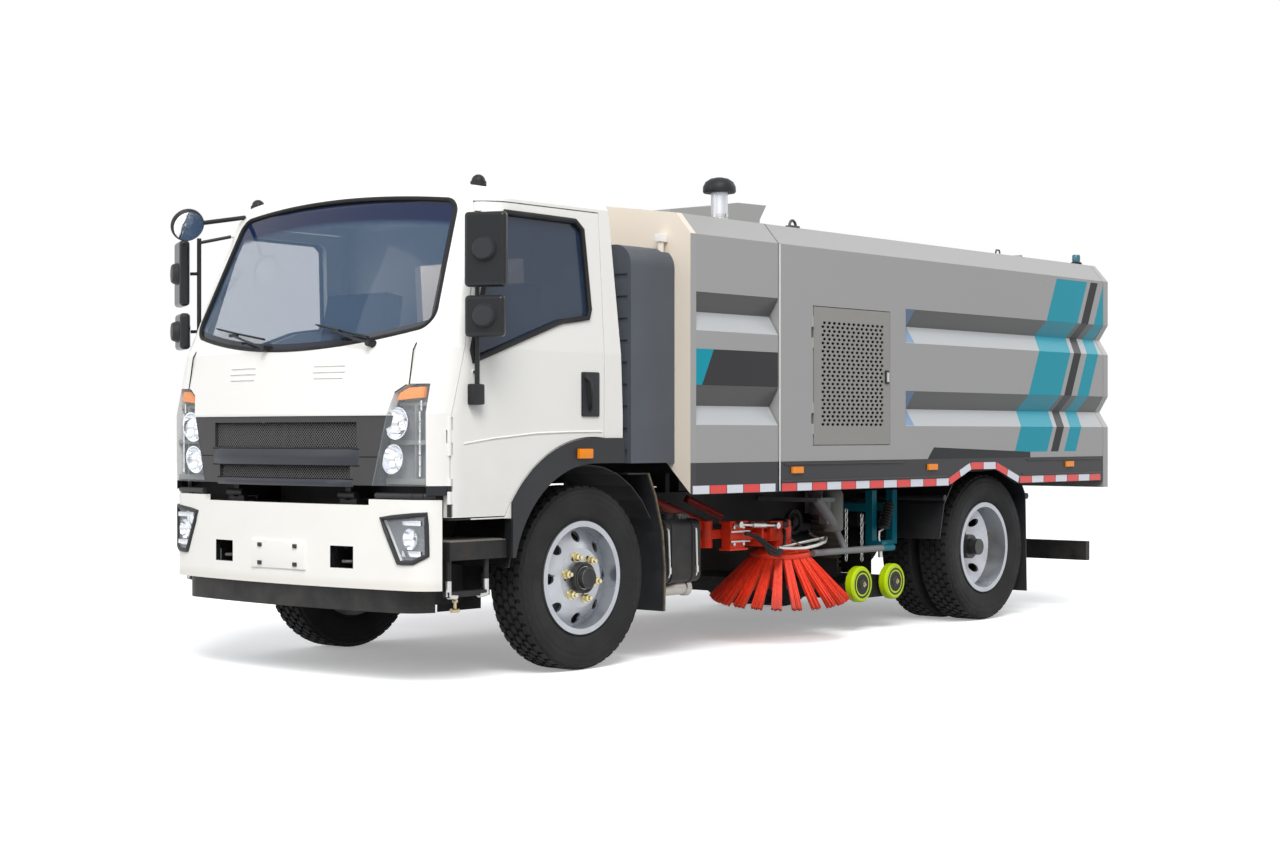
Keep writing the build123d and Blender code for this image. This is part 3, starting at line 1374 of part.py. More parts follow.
side_lamp_x = (443.0, -955.0, -2663.0)
side_lamp_z = 1000.0
side_lamp_w = 100.0
side_lamp_h = 36.0
side_lamp_t = 13.0


def side_lamps():
    """Amber marker lamps along the skirts."""
    shape = Part()
    for x in side_lamp_x:
        shape += both(block(x - side_lamp_w / 2, x + side_lamp_w / 2, body_half + seat_gap,
                            body_half + side_lamp_t, side_lamp_z - side_lamp_h / 2, side_lamp_z + side_lamp_h / 2))
    return shape


def louvre_door():
    """Left door with rows of slots, hinged at its front edge."""
    x0, x1 = louvre_rear_x + run_gap, louvre_front_x - run_gap
    z0, z1 = louvre_low_z + run_gap, louvre_high_z - run_gap
    shape = block(x0, x1, body_half - louvre_t, body_half, z0, z1)
    u0, u1, v0, v1 = slot_field_shares
    for row in range(slot_rows):
        z = z0 + (z1 - z0) * (v0 + (v1 - v0) * row / (slot_rows - 1))
        shape -= block(x0 + (x1 - x0) * u0, x0 + (x1 - x0) * u1, body_inner_y, body_half + overrun,
                       z - slot_h / 2, z + slot_h / 2)
    for station in louvre_stations:
        half = louvre_barrel_length / 2
        shape += block(x1 - louvre_barrel_r, louvre_front_x, body_half - louvre_barrel_r, body_half, station - half,
                       station + half)
    return hinge_moving(shape, louvre_hinge)


def tailgate():
    """Rear door of the hopper, hinged at the roof."""
    shape = front_prism(closed(body_outline(gate_low_z, True)), tail_x, tail_x + tailgate_t)
    y0, y1 = gate_station - gate_barrel_length / 2, gate_station + gate_barrel_length / 2
    shape += both(block(tail_x + tailgate_t - 2 * gate_barrel_r, gate_axis_x, y0, y1, roof_z - panel_t, gate_axis_z))
    return hinge_moving(shape, gate_hinge)


# Tipping ram between the rails
ram_r = 58.0
ram_rod_r = 30.0
ram_neck = 40.0
ram_barrel_length = 800.0
ram_length = sqrt((ram_pin_x - ram_foot_x) ** 2 + (ram_pin_z - ram_foot_z) ** 2)
ram_plane = Plane(origin=(ram_foot_x, 0, ram_foot_z),
                  z_dir=(ram_pin_x - ram_foot_x, 0, ram_pin_z - ram_foot_z))


def along_ram(start, end, radius):
    """Round bar on the ram's axis between two distances from its foot."""
    return ram_plane * (Pos(0, 0, (start + end) / 2) * Cylinder(radius, end - start))


def tip_barrel():
    """Ram barrel with its foot eye."""
    eye = ram_lug_y - seat_gap
    shape = rod((ram_foot_x, -eye, ram_foot_z), (ram_foot_x, eye, ram_foot_z), ram_eye_r)
    shape += along_ram(0, ram_barrel_length / 2, ram_rod_r) + along_ram(ram_neck, ram_barrel_length, ram_r)
    return shape - along_ram(2 * ram_neck, ram_barrel_length + overrun, ram_rod_r + seat_gap)


def tip_rod():
    """Ram rod with its eye at the hopper."""
    shape = along_ram(3 * ram_neck, ram_length, ram_rod_r)
    return shape + rod((ram_pin_x, -ram_eye_half, ram_pin_z), (ram_pin_x, ram_eye_half, ram_pin_z), ram_eye_r)


# Brooms
broom_lean = radians(broom_lean_deg)
broom_axis = (sin(broom_lean) / sqrt(2), sin(broom_lean) / sqrt(2), cos(broom_lean))
broom_plane = Plane(origin=(broom_x, broom_y, broom_disc_z), x_dir=(1, 0, -broom_axis[0] / broom_axis[2]),
                    z_dir=broom_axis)
broom_disc_t = 30.0
broom_hub_r = 60.0
broom_hub_h = 40.0
tuft_count = 20
tuft_root_r = 150.0
tuft_root = (38.0, 30.0)
tuft_tip = (92.0, 60.0)
motor_r = 64.0
motor_h = 115.0
pivot_barrel_r = 38.0
pivot_barrel_length = 50.0
pivot_z = 640.0
broom_hinge = Hinge((broom_pivot_x, broom_pivot_y, 0), (0, 0, 1), (pivot_z,), pivot_barrel_r, pivot_barrel_length)
arm_w = 70.0


def tuft():
    """One bundle of bristles, spreading from the disc to its tips."""
    root = Pos(tuft_root_r, 0, 0) * Rectangle(tuft_root[1], tuft_root[0])
    tip_x = broom_tip_r - tuft_tip[1] / 2
    tip = Pos(tip_x, 0, broom_tip_z - broom_disc_z) * Rectangle(tuft_tip[1], tuft_tip[0])
    return loft([root, tip], ruled=True)


def broom():
    """Left side broom about its leaning axis."""
    shape = Cylinder(broom_disc_r, broom_disc_t) + Pos(0, 0, broom_hub_h / 2) * Cylinder(broom_hub_r, broom_hub_h)
    bundle = tuft()
    for number in range(tuft_count):
        shape += Rot(0, 0, 360 / tuft_count * number) * bundle
    return broom_plane * shape


def broom_arm():
    """Left broom arm from its pivot to the motor over the broom."""
    half = arm_w / 2
    z0, z1 = pivot_z - pivot_barrel_length / 2, pivot_z + pivot_barrel_length / 2
    shape = block(broom_x, broom_pivot_x, broom_pivot_y - half, broom_pivot_y + half, z0, z1)
    motor = Pos(0, 0, broom_hub_h + seat_gap + motor_h / 2) * Cylinder(motor_r, motor_h)
    shape += broom_plane * motor
    return shape + hinge_barrels(broom_hinge, "moving", 0, 0) - hinge_barrels(broom_hinge, "fixed", run_gap, 0)


bracket_x0 = 765.0
bracket_x1 = 885.0
bracket_web_y = 735.0


def broom_brackets():
    """Brackets on the rails that carry the broom arms' pivots."""
    z0, z1 = pivot_z - 1.5 * pivot_barrel_length, pivot_z + 1.5 * pivot_barrel_length
    inner_y = rail_outer_y + seat_gap
    shape = block(bracket_x0, bracket_x1, inner_y, broom_pivot_y, z0, z1)
    half = pivot_barrel_length / 2 + seat_gap
    shape -= block(bracket_x0 - overrun, bracket_x1 + overrun, bracket_web_y, body_half, pivot_z - half, pivot_z + half)
    return both(shape + hinge_barrels(broom_hinge, "fixed", 0, 0))


# Suction nozzle, hoses and lift gear
nozzle_wall = 9.0
nozzle_chamfer = 42.0
collar_h = hose_low_z - nozzle_top_z
fork_t = 22.0
caster_x = (-522.0, -880.0)
caster_pin_r = 13.0
fork_half = 38.0


def nozzle_profile(inset):
    """Nozzle outline in X and Z."""
    return [(nozzle_rear_x + inset, nozzle_low_z), (nozzle_rear_x + inset, nozzle_top_z - nozzle_chamfer),
            (nozzle_rear_x + nozzle_chamfer, nozzle_top_z - inset), (nozzle_front_x - nozzle_chamfer, nozzle_top_z - inset),
            (nozzle_front_x - inset, nozzle_top_z - nozzle_chamfer), (nozzle_front_x - inset, nozzle_low_z)]


def suction_nozzle():
    """Wide nozzle open at its bottom, with hose collars and the casters' forks."""
    shape = side_prism(nozzle_profile(0), -nozzle_half, nozzle_half)
    inside = side_prism(nozzle_profile(nozzle_wall), -nozzle_half + nozzle_wall, nozzle_half - nozzle_wall)
    shape -= inside + Pos(0, 0, -nozzle_wall) * inside
    for side in (1, -1):
        y = side * hose_y
        shape += rod((hose_x, y, nozzle_top_z - nozzle_wall), (hose_x, y, hose_low_z), hose_r)
        shape -= rod((hose_x, y, nozzle_low_z), (hose_x, y, hose_low_z + overrun), hose_r - hose_wall)
    for x in caster_x:
        fork = block(x - fork_half, x + fork_half, nozzle_half - nozzle_wall, nozzle_half + fork_t,
                     nozzle_low_z + nozzle_chamfer, nozzle_top_z)
        pin = rod((x, nozzle_half, caster_z), (x, caster_y + caster_w / 2, caster_z), caster_pin_r)
        shape += both(fork & side_prism([(nozzle_rear_x - overrun, 0), (nozzle_front_x + overrun, 0),
                                         (nozzle_front_x + overrun, nozzle_top_z),
                                         (nozzle_rear_x - overrun, nozzle_top_z)], 0, body_half))
        shape += both(pin)
    return shape


def suction_hoses():
    """Flexible hoses from the nozzle up to the fixed pipes."""
    hose = pipe((hose_x, hose_y, hose_low_z + seat_gap), (hose_x, hose_y, hose_high_z - seat_gap), hose_r, hose_wall)
    return both(hose)


def suction_pipes():
    """Fixed pipes under the hopper's inlets, on brackets to the rails."""
    shape = rod((hose_x, hose_y, hose_high_z), (hose_x, hose_y, hopper_floor_z - run_gap), hose_r)
    shape += block(hose_x - hose_r / 2, hose_x + hose_r / 2, rail_outer_y + seat_gap, hose_y, hose_high_z + run_gap,
                   rail_top_z - run_gap)
    shape -= rod((hose_x, hose_y, 0), (hose_x, hose_y, cab_top_z), hose_r - hose_wall)
    return both(shape)


lift_bar_y = 900.0
lift_bar_z = 500.0
lift_bar_r = 20.0
lift_bar_x = (-902.0, -57.0)
post_w = 50.0
post_x = (-1037.0, -811.0)
post_y = 800.0
post_low_z = 514.0
post_high_z = 853.0
lift_arm_z = 745.0
strut_r = 33.0
strut_top = (-208.0, 820.0, 820.0)
strut_low = (-395.0, 820.0, 640.0)


def lift_frame():
    """Posts and bars that hold the nozzle's lift gear, on arms to the rails."""
    half = post_w / 2
    inner_y = rail_outer_y + seat_gap
    shape = Part()
    for x in post_x:
        shape += block(x - half, x + half, post_y - half, post_y + half, post_low_z, post_high_z)
        shape += block(x - half, x + half, inner_y, post_y, lift_arm_z - half, lift_arm_z + half)
    shape += block(post_x[0] - half, post_x[1] + half, post_y - half, post_y + half, post_low_z, post_low_z + half)
    shape += rod((lift_bar_x[0], lift_bar_y, lift_bar_z), (lift_bar_x[1], lift_bar_y, lift_bar_z), lift_bar_r)
    shape += block(post_x[1] - half, post_x[1] + half, post_y, lift_bar_y, post_low_z - half / 2, post_low_z + half)
    shape += block(strut_low[0] - half, strut_top[0] + half, strut_top[1] - half, strut_top[1] + half,
                   strut_top[2] - half, strut_top[2])
    shape += block(strut_top[0] - half, strut_top[0] + half, inner_y, strut_top[1], strut_top[2] - half, strut_top[2])
    shape += rod(strut_low, strut_top, strut_r)
    shape += rod(strut_low, (strut_low[0], lift_bar_y, lift_bar_z), lift_bar_r)
    return both(shape)


def caster(x):
    """One caster wheel with its hub."""
    half = caster_w / 2
    edge = caster_w / 6
    outline = [(0, -half), (caster_r - edge, -half), (caster_r, -half + edge), (caster_r, half - edge),
               (caster_r - edge, half), (0, half)]
    wheel = Pos(x, caster_y, caster_z) * turned(outline)
    return wheel - rod((x, nozzle_half, caster_z), (x, body_half, caster_z), caster_pin_r + seat_gap)


# All nodes
left_door, left_glass, left_mirror = cab_door(), door_glass(), mirror_set()
left_louvre, left_knuckle, left_arm, left_broom = louvre_door(), knuckle(), broom_arm(), broom()
left_front_rim, left_front_tyre = front_rim(), front_tyre()
left_rear_rims, left_rear_tyres = rear_rims(), rear_tyres()
front_caster, rear_caster = caster(caster_x[0]), caster(caster_x[1])

nodes = {
    "frame_rails": both(rail(0)),
    "chassis_frame": chassis_frame(),
    "cab_hinges": cab_hinges(),
    "drivetrain": drivetrain() + radiator(),
    "front_axle": front_axle(),
    "rear_axle": rear_axle(),
    "tie_rod": tie_rod(),
    "front_bumper": front_bumper(),
    "chassis_lamps": chassis_lamps(),
    "underrun_guard": underrun_guard(),
    "cab_steps": cab_steps() + bumper_lip(),
    "tanks": tanks(),
    "exhaust": exhaust(),
    "mudguards": mudguards(),
    "intake_duct": intake_duct() + intake_stack(),
    "aux_front_wall": aux_front_wall(),
    "aux_cover": aux_cover() + module_skirts(),
    "aux_engine": aux_engine(),
    "cab_shell": cab_shell(),
    "cab_floor": cab_floor(),
    "cab_front_panel": cab_front_panel(),
    "windscreen": windscreen(),
    "grille": grille(),
    "headlamps": headlamps(),
    "cab_trims": arch_trims() + front_mirror(),
    "cab_interior": seats() + dashboard() + steering(0),
    "hopper_shell": hopper_shell() + hopper_skirts(),
    "hopper_floor": hopper_floor(),
    "roof_duct": roof_duct(),
    "side_lamps": side_lamps(),
    "tailgate": tailgate(),
    "tip_barrel": tip_barrel(),
    "tip_rod": tip_rod(),
    "suction_nozzle": suction_nozzle(),
    "suction_hoses": suction_hoses(),
    "lift_frame": lift_frame() + suction_pipes() + broom_brackets(),
}
pairs = {
    "door": left_door + left_mirror, "door_glass": left_glass, "louvre": left_louvre,
    "knuckle": left_knuckle, "broom_arm": left_arm, "broom": left_broom, "front_rim": left_front_rim,
    "front_tyre": left_front_tyre, "rear_rims": left_rear_rims, "rear_tyres": left_rear_tyres,
    "front_caster": front_caster, "rear_caster": rear_caster,
}
for name, shape in pairs.items():
    nodes[name + "_left"] = shape
    nodes[name + "_right"] = other_side(shape)

os.makedirs("parts", exist_ok=True)
for name, shape in nodes.items():
    export_step(Part() + shape, os.path.join("parts", name + ".step"))
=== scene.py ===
from functools import reduce
from math import cos, hypot, pi, radians, sin, sqrt

import bmesh
import bpy
from mathutils import Matrix, Vector


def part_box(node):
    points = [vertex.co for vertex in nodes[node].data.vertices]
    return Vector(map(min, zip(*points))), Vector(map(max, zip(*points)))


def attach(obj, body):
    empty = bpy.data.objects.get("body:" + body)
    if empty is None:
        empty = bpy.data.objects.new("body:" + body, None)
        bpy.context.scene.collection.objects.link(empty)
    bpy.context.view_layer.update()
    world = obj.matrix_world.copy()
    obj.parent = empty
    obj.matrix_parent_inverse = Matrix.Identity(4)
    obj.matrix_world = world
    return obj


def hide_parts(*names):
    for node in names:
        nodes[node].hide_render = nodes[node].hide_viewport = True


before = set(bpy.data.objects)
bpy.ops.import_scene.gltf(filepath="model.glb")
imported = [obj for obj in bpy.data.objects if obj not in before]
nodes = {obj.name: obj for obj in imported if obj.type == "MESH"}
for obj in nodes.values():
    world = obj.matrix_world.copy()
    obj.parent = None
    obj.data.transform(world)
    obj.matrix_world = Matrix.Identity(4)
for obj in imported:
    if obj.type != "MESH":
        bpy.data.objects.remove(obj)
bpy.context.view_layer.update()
SIDES = (("left", 1), ("right", -1))
M = {}

# Places that several pieces share, in metres
AXLE_Z = 0.47
FRONT_X = 2.035
REAR_X = -1.765
CASTERS = (("front", -0.522), ("rear", -0.88))
CASTER_Z = 0.292
ROOF_EDGE_Y = 0.985
MIRROR_TURN = radians(28)


def both_sides(make):
    """Turns a function of one side into one that makes both."""
    def run():
        for side, _ in SIDES:
            make(side)
    return run


# The camera that was solved from the photograph
CAMERA_PLACE = (9.7903, 8.0063, 1.20175)
CAMERA_AIM = (-0.759, -0.651, 0.0)
CAMERA_LENS = 57.8
CAMERA_SHIFT = 7.5 / 1280

# Area lamps: name, place, energy and width; then the sun's direction
LAMPS = (("key", (10.0, 8.0, 10.0), 900.0, 7.0), ("fill", (13.0, -5.0, 7.0), 420.0, 8.0),
    ("back", (-12.0, 5.0, 9.0), 300.0, 8.0))
SUN_AIM = (-0.5, -0.55, -1.0)
FLOOR_HALF = 60.0


def link(data, aim):
    """Object that looks along a direction."""
    made = bpy.data.objects.new(data.name, data)
    made.rotation_euler = Vector(aim).to_track_quat("-Z", "Y").to_euler()
    bpy.context.scene.collection.objects.link(made)
    return made


def make_camera():
    data = bpy.data.cameras.new("camera")
    data.lens = CAMERA_LENS
    data.shift_y = CAMERA_SHIFT
    data.clip_end = 200.0
    camera = link(data, CAMERA_AIM)
    camera.location = CAMERA_PLACE
    bpy.context.scene.camera = camera


def seen_directly(tree):
    """1 for rays from the camera, mirrors and glass."""
    path = tree.nodes.new("ShaderNodeLightPath")
    total = path.outputs["Is Camera Ray"]
    for name in ("Is Glossy Ray", "Is Transmission Ray"):
        made = tree.nodes.new("ShaderNodeMath")
        made.operation = "MAXIMUM"
        tree.links.new(total, made.inputs[0])
        tree.links.new(path.outputs[name], made.inputs[1])
        total = made.outputs[0]
    return total


def make_world():
    world = bpy.data.worlds.new("studio")
    world.use_nodes = True
    tree = world.node_tree
    mix = tree.nodes.new("ShaderNodeMixShader")
    white = tree.nodes.new("ShaderNodeBackground")
    white.inputs["Color"].default_value = (1, 1, 1, 1)
    white.inputs["Strength"].default_value = 1.0
    sky = tree.nodes["Background"]
    sky.inputs["Color"].default_value = (0.93, 0.96, 1.0, 1)
    sky.inputs["Strength"].default_value = 0.5
    tree.links.new(seen_directly(tree), mix.inputs[0])
    tree.links.new(sky.outputs[0], mix.inputs[1])
    tree.links.new(white.outputs[0], mix.inputs[2])
    tree.links.new(mix.outputs[0], tree.nodes["World Output"].inputs[0])
    bpy.context.scene.world = world


def make_floor():
    """Floor that looks white to the camera, keeps the soft shadow and throws little light back."""
    mesh = bpy.data.meshes.new("floor")
    corners = [(FLOOR_HALF * u, FLOOR_HALF * v, 0) for u, v in ((-1, -1), (1, -1), (1, 1), (-1, 1))]
    mesh.from_pydata(corners, [], [(0, 1, 2, 3)])
    floor = bpy.data.objects.new("floor", mesh)
    bpy.context.scene.collection.objects.link(floor)
    material = bpy.data.materials.new("floor_white")
    material.use_nodes = True
    tree = material.node_tree
    shader = tree.nodes["Principled BSDF"]
    shader.inputs["Roughness"].default_value = 1.0
    shader.inputs["Specular IOR Level"].default_value = 0.0
    mix = tree.nodes.new("ShaderNodeMix")
    mix.data_type = "RGBA"
    mix.inputs[6].default_value = (0.3, 0.3, 0.3, 1)
    mix.inputs[7].default_value = (1.0, 1.0, 1.0, 1)
    tree.links.new(seen_directly(tree), mix.inputs[0])
    tree.links.new(mix.outputs[2], shader.inputs["Base Color"])
    glow = tree.nodes.new("ShaderNodeMath")
    glow.operation = "MULTIPLY"
    glow.inputs[1].default_value = 0.3
    tree.links.new(seen_directly(tree), glow.inputs[0])
    shader.inputs["Emission Color"].default_value = (1, 1, 1, 1)
    tree.links.new(glow.outputs[0], shader.inputs["Emission Strength"])
    mesh.materials.append(material)


def make_lamps():
    for name, place, energy, width in LAMPS:
        data = bpy.data.lights.new(name, "AREA")
        data.energy = energy
        data.size = width
        link(data, Vector((0, 0, 1)) - Vector(place)).location = place
    data = bpy.data.lights.new("sun", "SUN")
    data.energy = 1.3
    data.angle = radians(25)
    link(data, SUN_AIM)
    bpy.context.scene.view_settings.view_transform = "Standard"


class Paint:
    """Material graph: a base colour over which regions are laid, with its shader's settings."""

    def __init__(self, name, color, roughness, metallic=0.0):
        self.material = bpy.data.materials.new(name)
        self.material.use_nodes = True
        self.tree = self.material.node_tree
        self.shader = self.tree.nodes["Principled BSDF"]
        self.set("Roughness", roughness)
        self.set("Metallic", metallic)
        self.color = self.rgb(color)
        self.height = None
        self.axes = None
        self.roughness = None

    def node(self, kind, **settings):
        made = self.tree.nodes.new(kind)
        for key, value in settings.items():
            setattr(made, key, value)
        return made

    def put(self, socket, value):
        if isinstance(value, (int, float)):
            socket.default_value = value
        elif isinstance(value, tuple):
            socket.default_value = value if len(value) == 4 or len(socket.default_value) == 3 else value + (1.0,)
        else:
            self.tree.links.new(value, socket)

    def rgb(self, color):
        made = self.node("ShaderNodeRGB")
        made.outputs[0].default_value = tuple(color) + (1.0,)
        return made.outputs[0]

    def math(self, kind, a, b=0.0, c=0.0):
        made = self.node("ShaderNodeMath", operation=kind)
        for socket, value in zip(made.inputs, (a, b, c)):
            self.put(socket, value)
        return made.outputs[0]

    def axis(self, letter):
        """Object coordinate in metres."""
        if self.axes is None:
            coords = self.node("ShaderNodeTexCoord")
            split = self.node("ShaderNodeSeparateXYZ")
            self.tree.links.new(coords.outputs["Object"], split.inputs[0])
            self.coords = coords.outputs["Object"]
            self.axes = {"x": split.outputs[0], "y": split.outputs[1], "z": split.outputs[2]}
            self.axes["ay"] = self.math("ABSOLUTE", self.axes["y"])
        return self.axes[letter]

    def set(self, name, value):
        """Sets or links one of the shader's sockets."""
        self.put(self.shader.inputs[name], value)

    def over(self, a, b):
        return self.math("GREATER_THAN", a, b)

    def under(self, a, b):
        return self.math("LESS_THAN", a, b)

    def times(self, a, b):
        return self.math("MULTIPLY", a, b)

    def less(self, a, b):
        return self.math("SUBTRACT", a, b)

    def disc(self, x, z, radius):
        """1 inside a circle seen from the side."""
        along, height = self.less(self.axis("x"), x), self.less(self.axis("z"), z)
        return self.under(self.math("ADD", self.times(height, height), self.times(along, along)), radius * radius)

    def both(self, *masks):
        return reduce(self.times, masks)

    def either(self, *masks):
        return reduce(lambda a, b: self.math("MAXIMUM", a, b), masks)

    def between(self, value, low, high):
        return self.both(self.over(value, low), self.under(value, high))

    def polygon(self, first, second, points):
        """1 inside a convex outline, given anticlockwise in the two coordinates."""
        masks = []
        for (a0, b0), (a1, b1) in zip(points, points[1:] + points[:1]):
            # left of the edge: (a1-a0)*(v-b0) - (b1-b0)*(u-a0) > 0
            left = self.times(self.less(second, b0), a1 - a0)
            right = self.times(self.less(first, a0), b1 - b0)
            masks.append(self.over(left, right))
        return self.both(*masks)

    def lay(self, mask, color):
        """Lays a colour where the mask is 1."""
        mix = self.node("ShaderNodeMix", data_type="RGBA")
        self.put(mix.inputs[0], mask)
        self.tree.links.new(self.color, mix.inputs[6])
        if isinstance(color, tuple):
            mix.inputs[7].default_value = color + (1.0,)
        else:
            self.tree.links.new(color, mix.inputs[7])
        self.color = mix.outputs[2]

    def noise(self, scale, detail=4.0, stretch=None):
        self.axis("x")
        made = self.node("ShaderNodeTexNoise")
        made.inputs["Scale"].default_value = scale
        made.inputs["Detail"].default_value = detail
        source = self.coords
        if stretch:
            mapping = self.node("ShaderNodeMapping")
            mapping.inputs["Scale"].default_value = stretch
            self.tree.links.new(self.coords, mapping.inputs[0])
            source = mapping.outputs[0]
        self.tree.links.new(source, made.inputs["Vector"])
        return made.outputs[0]

    def ramp(self, value, low, high):
        made = self.node("ShaderNodeMapRange")
        self.put(made.inputs[0], value)
        made.inputs[1].default_value = low
        made.inputs[2].default_value = high
        return made.outputs[0]

    def mottle(self, scale, amount, color, detail=5.0):
        """Cloudy variation towards a second colour."""
        cloud = self.ramp(self.noise(scale, detail), 0.45, 0.75)
        self.lay(self.times(cloud, amount), color)

    def dust(self, low, high, amount, color=(0.3, 0.27, 0.23)):
        """Road dust that fades out upwards."""
        fade = self.ramp(self.axis("z"), high, low)
        cloud = self.ramp(self.noise(6.0, 6.0), 0.35, 0.7)
        self.lay(self.both(fade, cloud, amount), color)

    def bump(self, height, strength, distance=0.002):
        made = self.node("ShaderNodeBump")
        made.inputs["Strength"].default_value = strength
        made.inputs["Distance"].default_value = distance
        self.put(made.inputs["Height"], height)
        if self.height is not None:
            self.tree.links.new(self.height, made.inputs["Normal"])
        self.height = made.outputs[0]

    def coat(self, weight=0.6, roughness=0.08):
        self.set("Coat Weight", weight)
        self.set("Coat Roughness", roughness)

    def glow(self, color, strength):
        self.set("Emission Color", color)
        self.set("Emission Strength", strength)

    def uneven(self, scale, low, high):
        """Roughness that wanders between two values."""
        made = self.node("ShaderNodeMapRange")
        self.tree.links.new(self.noise(scale, 5.0), made.inputs[0])
        made.inputs[1].default_value = 0.3
        made.inputs[2].default_value = 0.7
        made.inputs[3].default_value = low
        made.inputs[4].default_value = high
        self.set("Roughness", made.outputs[0])

    def done(self):
        self.set("Base Color", self.color)
        if self.height is not None:
            self.set("Normal", self.height)
        return self.material


# Lengths are in metres, in the vehicle's frame
class Form:
    """Collects shapes into one mesh object; on a named side, Y is given as for the left one."""

    def __init__(self, side=""):
        self.bm = bmesh.new()
        self.side = side
        self.sign = -1 if side == "right" else 1

    def at(self, point):
        """Point with its Y on the form's own side."""
        return Vector((point[0], self.sign * point[1], point[2]))

    def soften(self, verts, width):
        """Bevels the edges at some vertices."""
        if width:
            edges = list({edge for vert in verts for edge in vert.link_edges})
            bmesh.ops.bevel(self.bm, geom=edges, offset=width, segments=2, profile=0.7, affect="EDGES")

    def skin(self, low, high):
        """Faces between two closed rings of vertices."""
        for k in range(len(low)):
            after = (k + 1) % len(low)
            self.bm.faces.new((low[k], low[after], high[after], high[k]))

    def ring(self, points):
        return [self.bm.verts.new(point) for point in points]

    def box(self, x0, x1, y0, y1, z0, z1, bevel=0.0):
        y0, y1 = sorted((self.sign * y0, self.sign * y1))
        made = bmesh.ops.create_cube(self.bm, size=1.0)["verts"]
        scale = Matrix.Diagonal((x1 - x0, y1 - y0, z1 - z0, 1.0))
        place = Matrix.Translation(((x0 + x1) / 2, (y0 + y1) / 2, (z0 + z1) / 2))
        bmesh.ops.transform(self.bm, matrix=place @ scale, verts=made)
        self.soften(made, bevel)
        return self

    def tube(self, start, end, r0, r1=None, sides=20, caps=True):
        start, end = self.at(start), self.at(end)
        turn = (end - start).to_track_quat("Z", "Y").to_matrix().to_4x4()
        made = bmesh.ops.create_cone(self.bm, cap_ends=caps, segments=sides, radius1=r0,
            radius2=r0 if r1 is None else r1, depth=(end - start).length)["verts"]
        bmesh.ops.transform(self.bm, matrix=Matrix.Translation((start + end) / 2) @ turn, verts=made)
        return self

    def ball(self, centre, radius, sides=16):
        made = bmesh.ops.create_uvsphere(self.bm, u_segments=sides, v_segments=sides // 2, radius=radius)["verts"]
        bmesh.ops.transform(self.bm, matrix=Matrix.Translation(self.at(centre)), verts=made)
        return self

    def lathe(self, centre, axis, profile, sides=48):
        """Turned form: profile of (radius, distance along the axis)."""
        place = Matrix.Translation(self.at(centre)) @ self.at(axis).to_track_quat("Z", "Y").to_matrix().to_4x4()
        rings = []
        for radius, along in profile:
            turns = [2 * pi * step / sides for step in range(sides)]
            rings.append(self.ring([place @ Vector((radius * cos(a), radius * sin(a), along)) for a in turns]))
        for low, high in zip(rings, rings[1:]):
            self.skin(low, high)
        return self

    def prism(self, points, direction, bevel=0.0):
        """Flat outline of 3-D points drawn out along a direction."""
        low = self.ring([self.at(point) for point in points])
        high = self.ring([self.at(point) + self.at(direction) for point in points])
        self.bm.faces.new(low[::-1])
        self.bm.faces.new(high)
        self.skin(low, high)
        self.soften(low + high, bevel)
        return self

    def sweep(self, path, radius, sides=10, closed=False):
        """Round bar along points."""
        points = [self.at(point) for point in path]
        rings = []
        normal = None
        angles = [2 * pi * k / sides for k in range(sides)]
        count = len(points)
        for number, point in enumerate(points):
            before = points[number - 1] if number or closed else point
            after = points[(number + 1) % count] if number + 1 < count or closed else point
            tangent = (after - before).normalized()
            if normal is None:
                normal = tangent.orthogonal().normalized()
            normal = (normal - tangent * normal.dot(tangent)).normalized()
            across = tangent.cross(normal)
            rings.append(self.ring([point + radius * (cos(a) * normal + sin(a) * across) for a in angles]))
        for low, high in list(zip(rings, rings[1:])) + ([(rings[-1], rings[0])] if closed else []):
            self.skin(low, high)
        if not closed:
            self.bm.faces.new(rings[0][::-1])
            self.bm.faces.new(rings[-1])
        return self

    def piece(self, name, material, body, smooth=35.0):
        """Mesh object that rides a body; names that end in an underscore get the form's side."""
        name, body = [word + self.side if word.endswith("_") else word for word in (name, body)]
        bmesh.ops.recalc_face_normals(self.bm, faces=self.bm.faces[:])
        mesh = bpy.data.meshes.new(name)
        self.bm.to_mesh(mesh)
        self.bm.free()
        mesh.materials.append(M[material])
        made = bpy.data.objects.new(name, mesh)
        bpy.context.scene.collection.objects.link(made)
        if smooth:
            mesh.polygons.foreach_set("use_smooth", [True] * len(mesh.polygons))
            mesh.set_sharp_from_angle(angle=radians(smooth))
        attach(made, body)
        return made


def shade(red, green, blue):
    """Colour given in display values of 0 to 255."""
    def linear(value):
        value /= 255.0
        return value / 12.92 if value <= 0.04045 else ((value + 0.055) / 1.055) ** 2.4
    return (linear(red), linear(green), linear(blue))


WHITE = shade(243, 241, 236)
GREY = shade(166, 166, 164)
# painted shade: darker grey for the downward-facing facets of the body's recesses
PAINTED_SHADE_GREY = shade(104, 104, 102)
CREAM = shade(236, 224, 208)
SKIRT = shade(62, 62, 64)
BLACK = shade(32, 33, 35)
TEAL = shade(0, 152, 172)
STEEL_BLUE = shade(112, 142, 176)
ORANGE = shade(246, 62, 26)
LIME = shade(205, 235, 12)
AMBER = shade(242, 138, 6)


def gloss_paint(name, color, grime=0.25):
    """Sprayed paint: slight orange peel, faint clouding and road dust low down."""
    paint = Paint(name, color, 0.32)
    paint.mottle(1.6, 0.05, tuple(c * 0.86 for c in color))
    paint.dust(0.35, 1.25, grime)
    paint.bump(paint.noise(420.0, 2.0), 0.05, 0.0006)
    paint.set("Specular IOR Level", 0.25)
    paint.coat(0.12, 0.07)
    return paint


